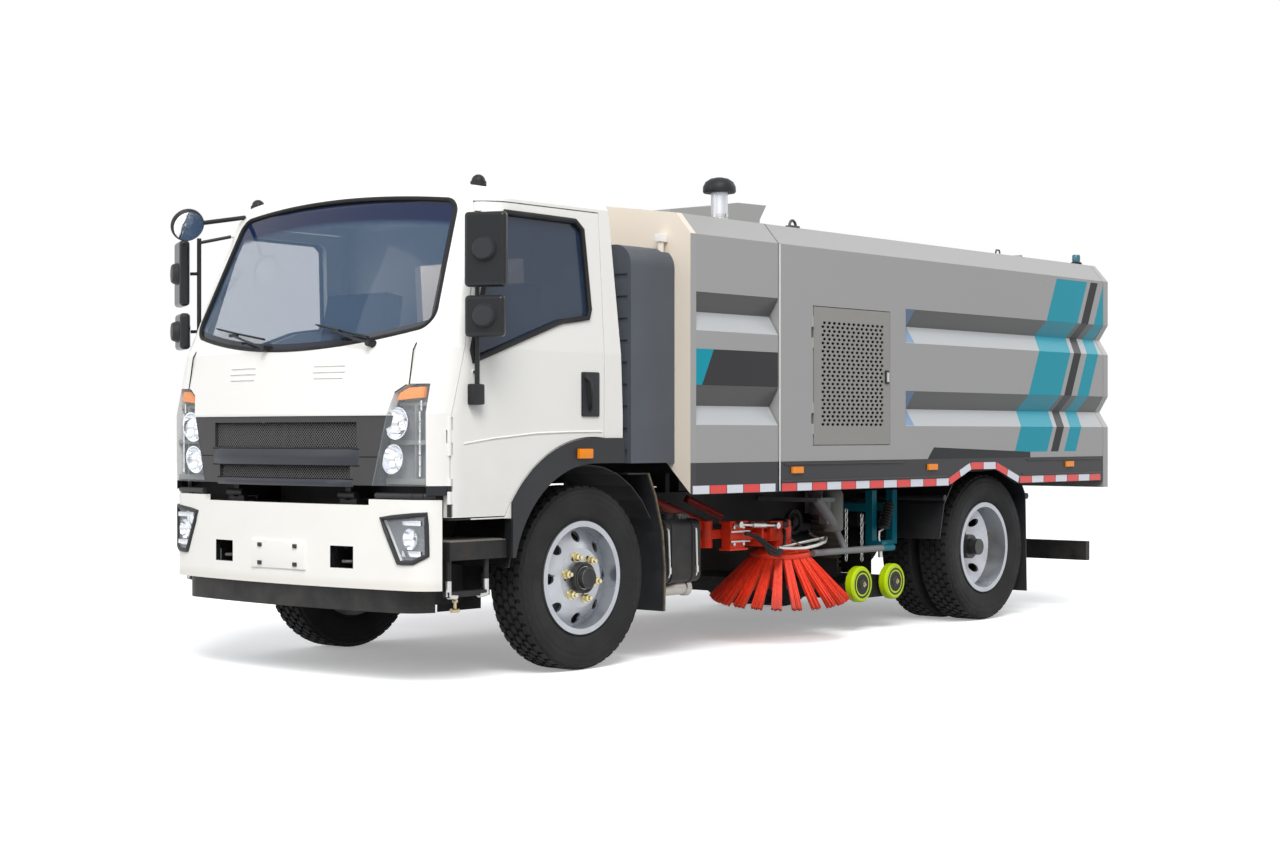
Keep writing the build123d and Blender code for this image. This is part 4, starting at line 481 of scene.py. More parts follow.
def satin_paint(name, color, roughness=0.45, grime=0.3):
    paint = Paint(name, color, roughness)
    paint.mottle(2.2, 0.1, tuple(c * 0.8 for c in color))
    paint.dust(0.3, 1.2, grime)
    paint.uneven(3.0, roughness - 0.06, roughness + 0.1)
    paint.bump(paint.noise(260.0, 3.0), 0.06, 0.0008)
    paint.set("Specular IOR Level", 0.25)
    return paint


def plastic(name, color, roughness=0.55, grain=900.0, grime=0.2):
    """Moulded plastic with a fine leather grain."""
    paint = Paint(name, color, roughness)
    paint.mottle(3.0, 0.18, tuple(min(1.0, c * 1.6 + 0.01) for c in color))
    paint.dust(0.25, 1.1, grime)
    paint.bump(paint.noise(grain, 2.0), 0.25, 0.0004)
    paint.set("Specular IOR Level", 0.3)
    return paint


def metal(name, color, roughness=0.35):
    """Bare metal with fine brushing and blotches."""
    paint = Paint(name, color, roughness, metallic=1.0)
    paint.mottle(9.0, 0.25, tuple(c * 0.7 for c in color))
    paint.uneven(14.0, roughness - 0.1, roughness + 0.14)
    paint.bump(paint.noise(120.0, 3.0, (1.0, 6.0, 1.0)), 0.12, 0.0005)
    return paint


def rubber(name, color, roughness=0.8):
    paint = Paint(name, color, roughness)
    paint.mottle(5.0, 0.18, shade(58, 56, 54))
    paint.set("Specular IOR Level", 0.25)
    paint.uneven(7.0, roughness - 0.1, roughness + 0.08)
    paint.bump(paint.noise(300.0, 4.0), 0.3, 0.0008)
    return paint


def lens(name, color, roughness=0.05, alpha=0.25):
    """Clear moulded lens."""
    paint = Paint(name, color, roughness)
    paint.set("Alpha", alpha)
    paint.set("IOR", 1.49)
    paint.set("Specular IOR Level", 0.8)
    paint.bump(paint.noise(60.0, 1.0), 0.04, 0.0005)
    paint.material.surface_render_method = "BLENDED"
    return paint


def dress(name, material):
    mesh = nodes[name].data
    if len(mesh.materials):
        for number in range(len(mesh.materials)):
            mesh.materials[number] = material
    else:
        mesh.materials.append(material)
    mesh.polygons.foreach_set("use_smooth", [True] * len(mesh.polygons))
    mesh.set_sharp_from_angle(angle=radians(30))


# Materials of the body
def body_side(name, hopper):
    """Grey panels with dark skirt, painted highlight on the upward-facing facets and painted shade on the
    downward-facing ones of each recess, and the livery.
    """
    paint = gloss_paint(name, GREY, 0.12)
    x, ay, z = (paint.axis(letter) for letter in ("x", "ay", "z"))
    coords = paint.node("ShaderNodeTexCoord")
    split = paint.node("ShaderNodeSeparateXYZ")
    paint.tree.links.new(coords.outputs["Normal"], split.inputs[0])
    tilt = split.outputs[2]
    side = paint.over(ay, 1.03)
    walls = paint.both(side, paint.under(z, 2.26))
    # painted shade on downward-facing facets and painted highlight on upward-facing ones, picked by the surface's
    # normal
    paint.lay(paint.both(walls, paint.under(tilt, -0.25)), PAINTED_SHADE_GREY)
    paint.lay(paint.both(walls, paint.over(tilt, 0.25)), shade(178, 180, 182))
    if hopper:
        fold = paint.between(x, -0.765, -0.668)
        inner = paint.both(fold, paint.over(ay, 1.03), paint.under(ay, 1.1485))
        paint.lay(paint.both(inner, paint.between(z, 1.25, 1.96)), STEEL_BLUE)
        stripes = [(-1.95, 0.42, TEAL), (-2.42, 0.1, BLACK), (-2.6, 0.16, TEAL)]
        for start, width, color in stripes:
            lean = -0.55
            rise = 1.16
            outline = [(start, 1.085), (start + lean, 1.085 + rise), (start + lean - width, 1.085 + rise),
                (start - width, 1.085)]
            paint.lay(paint.both(side, paint.polygon(x, z, outline)), color)
        swoosh = [(-0.98, 1.12), (-2.15, 1.085), (-2.15, 1.04), (-0.9, 1.04)]
        paint.lay(paint.both(side, paint.polygon(x, z, swoosh)), BLACK)
    else:
        paint.lay(paint.both(side, paint.between(z, 1.462, 1.655)), shade(50, 50, 52))
        wedge = [(1.345, 1.463), (1.345, 1.655), (1.19, 1.655), (1.29, 1.463)]
        paint.lay(paint.both(side, paint.polygon(x, z, wedge)), TEAL)
    paint.lay(paint.under(z, 1.0485), SKIRT)
    paint.set("Specular IOR Level", 0.15)
    paint.coat(0.05, 0.1)
    return paint


def cab_door_paint(name):
    """White door skin with black mirror set."""
    paint = gloss_paint(name, WHITE, 0.2)
    ay, x, z = paint.axis("ay"), paint.axis("x"), paint.axis("z")
    mirror = paint.either(paint.over(ay, 1.046), paint.both(paint.over(x, 2.76), paint.over(z, 2.225)))
    paint.lay(mirror, BLACK)
    return paint


def tape_paint(name, color):
    """Retroreflective film with its fine honeycomb."""
    paint = Paint(name, color, 0.35)
    cells = paint.node("ShaderNodeTexVoronoi", feature="DISTANCE_TO_EDGE")
    cells.inputs["Scale"].default_value = 260.0
    paint.axis("x")
    paint.tree.links.new(paint.coords, cells.inputs["Vector"])
    edge = paint.under(cells.outputs["Distance"], 0.06)
    paint.lay(paint.times(edge, 0.35), tuple(c * 0.75 for c in color))
    paint.coat(0.4, 0.15)
    return paint


def windscreen_paint(name):
    """Tinted glass with the dark ceramic edge and a blue shade band at the top."""
    paint = Paint(name, shade(84, 110, 140), 0.02)
    z, ay = paint.axis("z"), paint.axis("ay")
    square = paint.times(ay, ay)
    below_top = paint.less(paint.math("MULTIPLY_ADD", square, -0.0693, 2.388), z)
    above_low = paint.less(z, paint.math("MULTIPLY_ADD", square, 0.127, 1.618))
    across = paint.math("MULTIPLY_ADD", z, 0.1452, ay)
    band = paint.ramp(below_top, 0.14, 0.105)
    paint.lay(band, shade(26, 38, 72))
    edge = paint.either(paint.under(above_low, 0.034), paint.under(below_top, 0.024), paint.over(across, 1.128))
    paint.lay(edge, shade(34, 38, 50))
    cover = paint.math("MAXIMUM", paint.math("MULTIPLY_ADD", band, 0.58, 0.32), edge)
    paint.set("Alpha", cover)
    paint.set("Specular IOR Level", 0.3)
    paint.material.surface_render_method = "BLENDED"
    return paint


def glass_paint(name, color, alpha):
    paint = Paint(name, color, 0.02)
    # painted reflection: cloudy patches of a second colour across the glass
    paint.mottle(1.2, 0.3, shade(80, 100, 118))
    paint.set("Alpha", alpha)
    paint.set("Specular IOR Level", 0.6)
    paint.material.surface_render_method = "BLENDED"
    return paint


def shell_paint(name):
    """White cab skin, dark below the headlamps and in front of the wheel arch."""
    paint = gloss_paint(name, WHITE, 0.08)
    x, z = paint.axis("x"), paint.axis("z")
    arch = paint.both(paint.over(x, 2.4), paint.under(z, 0.79))
    corner = paint.both(paint.over(x, 2.9), paint.under(z, 0.957))
    paint.lay(paint.either(arch, corner), BLACK)
    return paint


def bumper_paint(name):
    """White bumper skin with painted shade: black on the walls of its tow slots and a darker band along its turned-in
    foot.
    """
    paint = gloss_paint(name, shade(249, 247, 241), 0.04)
    ay, z = paint.axis("ay"), paint.axis("z")
    foot = paint.ramp(z, 0.515, 0.48)
    # painted shade: darker towards the turned-in foot
    paint.lay(paint.times(foot, 0.7), shade(232, 228, 218))
    # painted shade: black on the walls of the tow slots
    paint.lay(paint.both(paint.between(ay, 0.3745, 0.5275), paint.between(z, 0.5545, 0.6615)), BLACK)
    return paint


def wall_paint(name):
    """Cream front wall whose side faces are grey over the dark skirt."""
    paint = satin_paint(name, CREAM, 0.42, 0.15)
    side = paint.over(paint.axis("ay"), 1.1485)
    paint.lay(side, GREY)
    paint.lay(paint.both(side, paint.under(paint.axis("z"), 1.0485)), SKIRT)
    return paint


def duct_paint(name):
    """Grey duct; the stack beside it has a bright neck."""
    paint = plastic(name, shade(82, 87, 94), 0.5, 300.0, 0.25)
    stack = paint.both(paint.under(paint.axis("x"), 1.0), paint.over(paint.axis("z"), 2.27))
    neck = paint.both(stack, paint.under(paint.axis("z"), 2.536))
    paint.lay(stack, shade(26, 27, 30))
    paint.lay(neck, shade(200, 202, 206))
    paint.set("Metallic", neck)
    return paint


def lift_paint(name):
    """Galvanised bars between teal posts and orange brackets."""
    paint = satin_paint(name, shade(146, 148, 150), 0.4, 0.2)
    x = paint.axis("x")
    paint.lay(paint.between(x, -1.07, -0.78), shade(10, 120, 140))
    paint.lay(paint.over(x, 0.7), ORANGE)
    return paint


def caster_paint(name):
    """Lime tyre round a black hub."""
    paint = rubber(name, LIME, 0.45)
    hubs = [paint.disc(x, CASTER_Z, 0.062) for _, x in CASTERS]
    paint.lay(paint.either(*hubs), shade(24, 25, 27))
    return paint


def chassis_lens(name):
    """Clear fog lamp lenses at the front and red ones at the rear."""
    paint = lens(name, shade(235, 242, 248), 0.03)
    rear = paint.under(paint.axis("x"), 0.0)
    paint.lay(rear, shade(176, 16, 18))
    paint.set("Alpha", paint.math("MULTIPLY_ADD", rear, 0.78, 0.22))
    return paint


def rim_paint(name):
    """Silver sprayed steel rim whose inboard part and inner twin are painted dark as shade, with a black rear hub."""
    paint = metal(name, shade(178, 181, 186), 0.34)
    ay, x = paint.axis("ay"), paint.axis("x")
    front = paint.both(paint.over(x, 0.0), paint.under(ay, 0.86))
    rear = paint.both(paint.under(x, 0.0), paint.under(ay, 0.79))
    # painted shade: the inboard part of each rim and the inner twin are dark, as in shadow; the rear hub is black
    inner = paint.either(front, rear, paint.disc(REAR_X, AXLE_Z, 0.092))
    paint.lay(inner, shade(34, 34, 35))
    paint.set("Metallic", paint.math("MULTIPLY_ADD", inner, -0.85, 0.85))
    return paint


def worn_paint(name):
    """Black plastic scuffed to brown and grey."""
    paint = Paint(name, shade(104, 90, 68), 0.7)
    paint.mottle(24.0, 0.9, shade(44, 42, 40), 8.0)
    paint.mottle(70.0, 0.4, shade(150, 136, 110), 6.0)
    paint.bump(paint.noise(160.0, 4.0), 0.3, 0.001)
    return paint


def satin_amber(name, color):
    """Moulded signal lens with its prism ribs."""
    paint = Paint(name, color, 0.12)
    wave = paint.node("ShaderNodeTexWave", wave_type="BANDS", bands_direction="X")
    wave.inputs["Scale"].default_value = 60.0
    paint.axis("x")
    paint.tree.links.new(paint.coords, wave.inputs["Vector"])
    paint.lay(paint.times(wave.outputs["Fac"], 0.25), tuple(c * 0.55 for c in color))
    paint.bump(wave.outputs["Fac"], 0.3, 0.0015)
    paint.glow(color, 0.15)
    paint.set("Specular IOR Level", 0.2)
    paint.coat(0.1, 0.05)
    return paint


def bristle_paint(name):
    """Bundled plastic bristles: fine streaks along them and dirt at the tips."""
    paint = Paint(name, ORANGE, 0.5)
    streak = paint.ramp(paint.noise(90.0, 3.0, (1.0, 1.0, 0.12)), 0.4, 0.62)
    paint.lay(paint.times(streak, 0.45), shade(190, 34, 14))
    tips = paint.ramp(paint.axis("z"), 0.3, 0.235)
    paint.lay(paint.times(tips, 0.35), shade(120, 40, 26))
    paint.bump(paint.noise(200.0, 3.0, (1.0, 1.0, 0.1)), 0.5, 0.0015)
    return paint


def make_materials():
    paints = {
        "white": gloss_paint("cab_white_paint", WHITE, 0.18),
        "bumper": bumper_paint("bumper_white_paint"),
        "plate": gloss_paint("plate_white_paint", shade(249, 247, 241), 0.04),
        "door": cab_door_paint("door_paint"),
        "hopper": body_side("hopper_paint", True),
        "module": body_side("module_paint", False),
        "gate": gloss_paint("gate_paint", GREY, 0.15),
        "louvre": satin_paint("louvre_paint", shade(150, 148, 144), 0.45, 0.1),
        "skirt": satin_paint("skirt_paint", SKIRT, 0.45),
        "frame": satin_paint("frame_paint", shade(22, 22, 24), 0.5, 0.12),
        "cast": satin_paint("cast_iron", shade(36, 36, 38), 0.7, 0.2),
        "black": plastic("black_plastic", shade(30, 31, 33), 0.5),
        "trim": plastic("trim_plastic", shade(40, 41, 44), 0.5, 600.0, 0.08),
        "grille": plastic("grille_plastic", shade(62, 61, 61), 0.45, 700.0, 0.05),
        "duct": duct_paint("duct_plastic"),
        "tyre": rubber("tyre_rubber", shade(38, 38, 39)),
        "rubber": rubber("seal_rubber", shade(26, 26, 27), 0.6),
        # dark rubber for the sheets that stand for shade under the body
        "flap": rubber("shade_sheet_rubber", shade(34, 33, 32), 0.75),
        "rim": rim_paint("rim_silver"),
        "steel": metal("zinc_steel", shade(190, 190, 188), 0.35),
        "dark_steel": metal("dark_steel", shade(90, 88, 85), 0.5),
        "chrome": metal("chrome_plate", shade(228, 230, 234), 0.14),
        "nut": metal("zinc_nut", shade(214, 202, 160), 0.34),
        "orange": satin_paint("orange_paint", ORANGE, 0.4, 0.2),
        "red": satin_paint("dark_red_paint", shade(150, 28, 14), 0.45, 0.3),
        "grey_part": satin_paint("grey_paint", shade(140, 142, 138), 0.42, 0.3),
        "lime": caster_paint("lime_rubber"),
        "inside": plastic("cabin_plastic", shade(44, 50, 62), 0.7, 500.0, 0.0),
        "glass": glass_paint("side_glass", shade(40, 58, 84), 0.74),
        "clear_glass": glass_paint("far_side_glass", shade(150, 170, 184), 0.12),
        "wire": satin_paint("grille_wire", shade(118, 118, 116), 0.4, 0.0),
        "grille_bar": plastic("grille_bar_plastic", shade(48, 50, 58), 0.36, 700.0, 0.0),
        "lamp_house": satin_paint("lamp_housing", shade(150, 153, 158), 0.3, 0.0),
        "shell": shell_paint("cab_shell_paint"),
        "wall": wall_paint("front_wall_paint"),
        "lift": lift_paint("lift_frame_paint"),
        "chassis_lens": chassis_lens("chassis_lamp_lens"),
        "beacon": lens("beacon_glass", shade(24, 110, 130), 0.08, 0.9),
        "windscreen": windscreen_paint("windscreen_glass"),
        "mirror_glass": metal("mirror_glass", shade(235, 240, 245), 0.03),
        "lamp_lens": lens("lamp_lens", shade(235, 242, 248), 0.03, 0.12),
        "amber_lens": satin_amber("amber_lens", AMBER),
        "tape_red": tape_paint("tape_red", shade(232, 36, 30)),
        "tape_white": tape_paint("tape_white", shade(226, 228, 236)),
        "bristle": bristle_paint("bristle_orange"),
        # near-black for painted shadow behind openings and along grooves
        "shadow": plastic("painted_shadow_black", shade(14, 14, 15), 0.9, 300.0, 0.0),
        "hose": rubber("hose_rubber", shade(92, 84, 74), 0.7),
        "brass": metal("brass", shade(182, 168, 134), 0.35),
        "pipe": metal("pipe_steel", shade(172, 168, 162), 0.42),
        "worn": worn_paint("worn_edge"),
        "tread": satin_paint("step_tread", shade(128, 124, 118), 0.55, 0.3),
    }
    for key, paint in paints.items():
        M[key] = paint.done()


def dress_nodes():
    table = {
        "white": "cab_front_panel", "shell": "cab_shell", "bumper": "front_bumper", "door": "door_",
        "hopper": "hopper_shell roof_duct", "module": "aux_cover", "gate": "tailgate", "wall": "aux_front_wall",
        "lift": "lift_frame", "louvre": "louvre_",
        "cast": "drivetrain front_axle rear_axle exhaust aux_engine knuckle_",
        "frame": "frame_rails chassis_frame cab_hinges cab_floor cab_steps underrun_guard tanks hopper_floor "
                 "tip_barrel tie_rod suction_nozzle",
        "trim": "mudguards cab_trims", "grille": "grille", "duct": "intake_duct", "tyre": "front_tyre_ rear_tyres_",
        "rim": "front_rim_ rear_rims_", "steel": "tip_rod", "orange": "broom_arm_", "bristle": "broom_",
        "lime": "front_caster_ rear_caster_", "inside": "cab_interior", "glass": "door_glass_left",
        "clear_glass": "door_glass_right", "windscreen": "windscreen", "lamp_lens": "headlamps",
        "chassis_lens": "chassis_lamps", "amber_lens": "side_lamps", "hose": "suction_hoses",
    }
    for key, words in table.items():
        for word in words.split():
            for name in [word + side for side, _ in SIDES] if word.endswith("_") else [word]:
                dress(name, M[key])


# Tyres: carcass with sidewall ribs and a tread of interlocking blocks
TYRE_R = 0.47
GROOVE_R = 0.456
TREAD_ROWS = ((0.0, 0.03, 0.0), (0.041, 0.032, 0.5), (-0.041, 0.032, 0.5), (0.08, 0.034, 0.0), (-0.08, 0.034, 0.0))
PITCHES = 46


def add_tyre(form, x, y):
    side = [(0.2755, 0.089), (0.3, 0.0895), (0.306, 0.096), (0.33, 0.104), (0.372, 0.113), (0.394, 0.1165),
        (0.398, 0.115), (0.403, 0.1165), (0.425, 0.1155), (0.429, 0.1135), (0.434, 0.1145), (0.448, 0.111),
        (0.4535, 0.103), (GROOVE_R, 0.09)]
    profile = side + [(GROOVE_R, 0.0)] + [(r, -v) for r, v in reversed(side)]
    form.lathe((x, y, AXLE_Z), (0, 1, 0), profile, 96)
    bm = form.bm
    for row_y, row_w, shift in TREAD_ROWS:
        outer = abs(row_y) > 0.06
        for pitch in range(PITCHES):
            middle = 2 * pi * (pitch + shift) / PITCHES
            step = 2 * pi / PITCHES
            outline = ((-0.4, -0.5), (-0.26, 0.0), (-0.4, 0.5), (0.28, 0.5), (0.42, 0.0), (0.28, -0.5))
            low, high = [], []
            for u, v in outline:
                across = row_y + v * row_w
                top_r = TYRE_R - (0.004 if outer and abs(across) > 0.09 else 0.0)
                for ring, radius, spread in ((low, GROOVE_R - 0.003, 1.05), (high, top_r, 0.97)):
                    spot = middle + u * step * spread
                    wide = row_y + v * row_w * spread
                    ring.append(bm.verts.new((x + radius * cos(spot), y + wide, AXLE_Z + radius * sin(spot))))
            bm.faces.new(high)
            form.skin(low, high)
        if outer:
            sign = 1 if row_y > 0 else -1
            for pitch in range(PITCHES):
                middle = 2 * pi * (pitch + 0.5) / PITCHES
                step = 2 * pi / PITCHES
                rings = []
                for inset in (0.0, 0.012):
                    spots = []
                    for u, radius, across in ((-0.36, 0.462, 0.094), (0.3, 0.462, 0.094), (0.24, 0.436, 0.116),
                            (-0.3, 0.436, 0.116)):
                        r, spot = radius - inset, middle + u * step
                        spots.append((x + r * cos(spot), y + sign * (across - inset), AXLE_Z + r * sin(spot)))
                    rings.append(form.ring(spots))
                bm.faces.new(rings[0])
                form.skin(*rings)
    return form


def make_tyres():
    for side, s in SIDES:
        front = add_tyre(Form(), FRONT_X, s * 0.87).piece("tyre_front_" + side, "tyre", "front_wheel_" + side)
        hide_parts("front_tyre_" + side)
        form = add_tyre(Form(), REAR_X, s * 0.655)
        add_tyre(form, REAR_X, s * 0.935)
        rear = form.piece("tyre_rear_" + side, "tyre", "rear_wheels_" + side)
        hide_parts("rear_tyres_" + side)


# Wheel nuts, hub parts and valves; each nut is a washer, a hexagon, its chamfer and the stud's end
STUD_CIRCLE_R = 0.1111
NUT_STEPS = ((-0.002, 0.005, 0.0255, 0.0255, 24), (0.004, 0.026, 0.0195, 0.0195, 6), (0.026, 0.03, 0.0195, 0.014, 6),
    (0.03, 0.042, 0.0105, 0.0105, 14))


@both_sides
def make_wheel_fittings(side):
    for name, x, face_y, body in (("front", FRONT_X, 0.954, "front_wheel_"), ("rear", REAR_X, 0.809, "rear_wheels_")):
        form = Form(side)
        for number in range(6):
            angle = pi / 3 * number + 0.2
            stud_x, stud_z = x + STUD_CIRCLE_R * cos(angle), AXLE_Z + STUD_CIRCLE_R * sin(angle)
            for low, high, r0, r1, sides in NUT_STEPS:
                form.tube((stud_x, face_y + low, stud_z), (stud_x, face_y + high, stud_z), r0, r1, sides)
        form.piece("wheel_nuts_" + name + "_", "nut", body)
        if name == "front":
            hub = Form(side)
            hub.lathe((x, 0, AXLE_Z), (0, 1, 0), [(0.0775, face_y - 0.01), (0.08, face_y + 0.004),
                (0.0795, face_y + 0.033), (0.074, face_y + 0.036), (0.056, face_y + 0.03), (0.0535, face_y + 0.06),
                (0.048, face_y + 0.0655), (0.02, face_y + 0.068), (0.0, face_y + 0.068)], 40)
            hub.piece("hub_cap_" + name + "_", "black", body)
        valve = Form(side)
        valve.sweep([(x + 0.225, face_y - 0.07, AXLE_Z + 0.02), (x + 0.222, face_y - 0.01, AXLE_Z + 0.02),
            (x + 0.205, face_y + 0.012, AXLE_Z + 0.02)], 0.004, 8)
        valve.piece("valve_" + name + "_", "dark_steel", body)


# Cab outside: heights at the ends of each zone of the cab, the surface's X or half width there, and the front's bow
CAB_FRONT = ((0.6, 1.299, 3.2122, 3.215, 5.4), (1.299, 1.613, 3.215, 3.1642, 4.86),
    (1.613, 2.35, 3.1642, 2.8427, 4.32))
CAB_SIDE = ((0.6, 1.299, 1.0348, 1.04, 0), (1.299, 1.613, 1.04, 1.04, 0), (1.613, 2.35, 1.04, 0.9974, 0),
    (2.35, 2.426, 0.9974, 0.9548, 0))


def at_height(zones, z):
    """Place of a surface at a height, and its bow."""
    for low, high, first, last, bow in zones:
        if z < high:
            break
    return first + (z - low) / (high - low) * (last - first), bow


def cab_front_x(y, z):
    """Place of the cab's front surface."""
    base, bow = at_height(CAB_FRONT, z)
    return base - (bow - sqrt(bow * bow - y * y))


def door_y(z):
    """Half width of the cab at a height."""
    return at_height(CAB_SIDE, z)[0]


def front_line(points, lift=0.0015):
    return [(cab_front_x(y, z) + lift, y, z) for y, z in points]


def make_wipers():
    form = Form()
    for tip, pivot in (((0.208, 1.735), (0.588, 1.64)), ((-0.64, 1.745), (-0.151, 1.635))):
        start, end = [Vector(point) for point in front_line([tip, pivot], 0.03)]
        middle = start.lerp(end, 0.38) + Vector((0.012, 0, 0.004))
        form.sweep([end, end.lerp(middle, 0.5) + Vector((0.016, 0, 0)), middle], 0.0065, 8)
        form.tube(end + Vector((-0.035, 0, -0.006)), end + Vector((0.014, 0, 0)), 0.02, 0.015)
        blade = [Vector(point) for point in front_line([(tip[0] - 0.02, tip[1] + 0.004),
            (tip[0] + (pivot[0] - tip[0]) * 0.35, tip[1] - 0.026),
            (tip[0] + (pivot[0] - tip[0]) * 0.92, tip[1] - 0.066)], 0.016)]
        form.sweep(blade, 0.0055, 6)
        form.sweep([point + Vector((0.012, 0, 0.003)) for point in blade], 0.0035, 6)
        x, y, z = middle
        form.box(x - 0.012, x + 0.006, y - 0.03, y + 0.03, z - 0.008, z + 0.008, 0.002)
    form.piece("wipers", "black", "cab")


def rounded_corner(before, corner, after, reach):
    """Points of a curve that rounds a corner between its two neighbours."""
    corner = Vector(corner)
    start = corner + (Vector(before) - corner).normalized() * reach
    end = corner + (Vector(after) - corner).normalized() * reach
    points = []
    for k in range(9):
        share = k / 8
        first, last = start.lerp(corner, 0.55), end.lerp(corner, 0.55)
        a, b, c = start.lerp(first, share), first.lerp(last, share), last.lerp(end, share)
        point = a.lerp(b, share).lerp(b.lerp(c, share), share)
        points.append((point.x, point.y))
    return points


def make_windscreen_seal():
    """Rubber moulding round the windscreen, with its rounded corners."""
    low, top, side = [], [], []
    for k in range(25):
        share = -1 + k / 12
        low.append((0.905 * share, 1.618 + 0.104 * share * share))
        top.append((-0.815 * share, 2.388 - 0.046 * share * share))
    for k in range(9):
        side.append((0.905 - 0.09 * k / 8, 1.722 + 0.62 * k / 8))
    far_side = [(-y, z) for y, z in reversed(side)]
    loop = low[2:-2] + rounded_corner(low[-2], low[-1], side[1], 0.078) + side[2:-1]
    loop += rounded_corner(side[-2], side[-1], top[1], 0.066) + top[2:-2]
    loop += rounded_corner(top[-2], top[-1], far_side[1], 0.066) + far_side[1:-2]
    loop += rounded_corner(far_side[-2], far_side[-1], low[1], 0.078)
    form = Form().sweep(front_line(loop, -0.004), 0.011, 8, closed=True)
    form.piece("windscreen_seal", "rubber", "cab")


def make_front_seams():
    """Shut lines of the front flap, its pressed louvres and the corner panels."""
    form = Form()
    for s in (1, -1):
        form.sweep(front_line([(s * 0.845, 1.436 + 0.2 * k / 6) for k in range(7)], 0.0), 0.0035, 6)
        form.sweep(front_line([(s * y, 1.4 + (y - 0.766) * 0.5625) for y in (0.766, 0.79, 0.81, 0.83)], 0.0), 0.003, 6)
    form.piece("front_seams", "rubber", "cab")
    press = Form()
    for centre in (0.33, -0.33):
        for row, half in ((1.535, 0.105), (1.505, 0.11), (1.475, 0.1)):
            line = [(centre + half * share, row) for share in (-1, -0.5, 0.5, 1)]
            press.sweep(front_line(line, 0.0005), 0.0045, 8)
    press.piece("front_pressings", "white", "cab")


def front_bar(form, half, profile):
    """Bar that follows the cab's bowed front: profile of (lift, height)."""
    rings = []
    for k in range(17):
        y = half * (k / 8 - 1)
        ease = 1 - abs(k / 8 - 1) ** 8
        rings.append(form.ring([(cab_front_x(y, z) - 0.006 + lift * ease, y, z) for lift, z in profile]))
    for low, high in zip(rings, rings[1:]):
        form.skin(low, high)
    form.bm.faces.new(rings[0][::-1])
    form.bm.faces.new(rings[-1])


WIRE_PITCH = 0.017
WIRE_R = 0.0012


def make_grille_mesh():
    """Moulded bars of the grille and the fine wire mesh in its two openings, with painted shadow: dark lines along the
    bars' edges and a near-black backing behind the mesh.
    """
    bars = Form()
    for half, low, high, depth in ((0.56, 1.05, 1.128, 0.02), (0.52, 0.947, 0.982, 0.016)):
        rise = high - low
        front_bar(bars, half, [(-0.004, low), (depth * 0.5, low), (depth, low + rise * 0.25),
            (depth, low + rise * 0.62), (depth * 0.35, high), (-0.004, high)])
    bars.piece("grille_bars", "grille_bar", "cab")
    seams = Form()
    for half, z in ((0.56, 1.1295), (0.56, 1.0485), (0.52, 0.9835)):
        seams.sweep(front_line([(half * (k / 6 - 1), z) for k in range(13)], -0.004), 0.0028, 6)
    for s in (1, -1):
        seams.sweep(front_line([(s * y, 1.092) for y in (0.562, 0.6, 0.64, 0.672)], -0.005), 0.0024, 6)
    # painted shadow along the edges of the bars
    seams.piece("grille_seams", "shadow", "cab")
    wires, backs = Form(), Form()
    for half, low, high in ((0.54, 1.137, 1.257), (0.496, 0.984, 1.051)):
        rise = high - low
        for lean in (1, -1):
            start = -half - rise
            while start < half:
                y0, z0, y1, z1 = start, low, start + rise, high
                if y0 < -half:
                    z0, y0 = z0 + (-half - y0), -half
                if y1 > half:
                    z1, y1 = z1 - (y1 - half), half
                if y1 - y0 > 0.004:
                    ends = []
                    for y, z in ((y0, z0), (y1, z1)):
                        ends.append((cab_front_x(lean * y, z) - 0.022, lean * y, z))
                    wires.tube(*ends, WIRE_R, sides=3, caps=False)
                start += WIRE_PITCH
        steps = 12
        for k in range(steps):
            y0, y1 = half * (2 * k / steps - 1), half * (2 * (k + 1) / steps - 1)
            corners = [(cab_front_x(y, z) - 0.029, y, z) for y, z in ((y0, low), (y1, low), (y1, high), (y0, high))]
            backs.bm.faces.new(backs.ring(corners))
    wires.piece("grille_wires", "wire", "cab", 0)
    # painted shadow: near-black backing behind the wires
    backs.piece("grille_backing", "shadow", "cab", 0)


def make_roof_markers():
    form = Form()
    for s in (1, -1):
        form.tube((2.659, s * 0.846, 2.418), (2.659, s * 0.846, 2.44), 0.04)
        form.ball((2.659, s * 0.846, 2.44), 0.035)
    for x, y, z in ((2.7, 0.62, 2.405), (2.7, -0.62, 2.405)):
        form.ball((x, y, z + 0.028), 0.012)
    form.piece("roof_markers", "black", "cab")


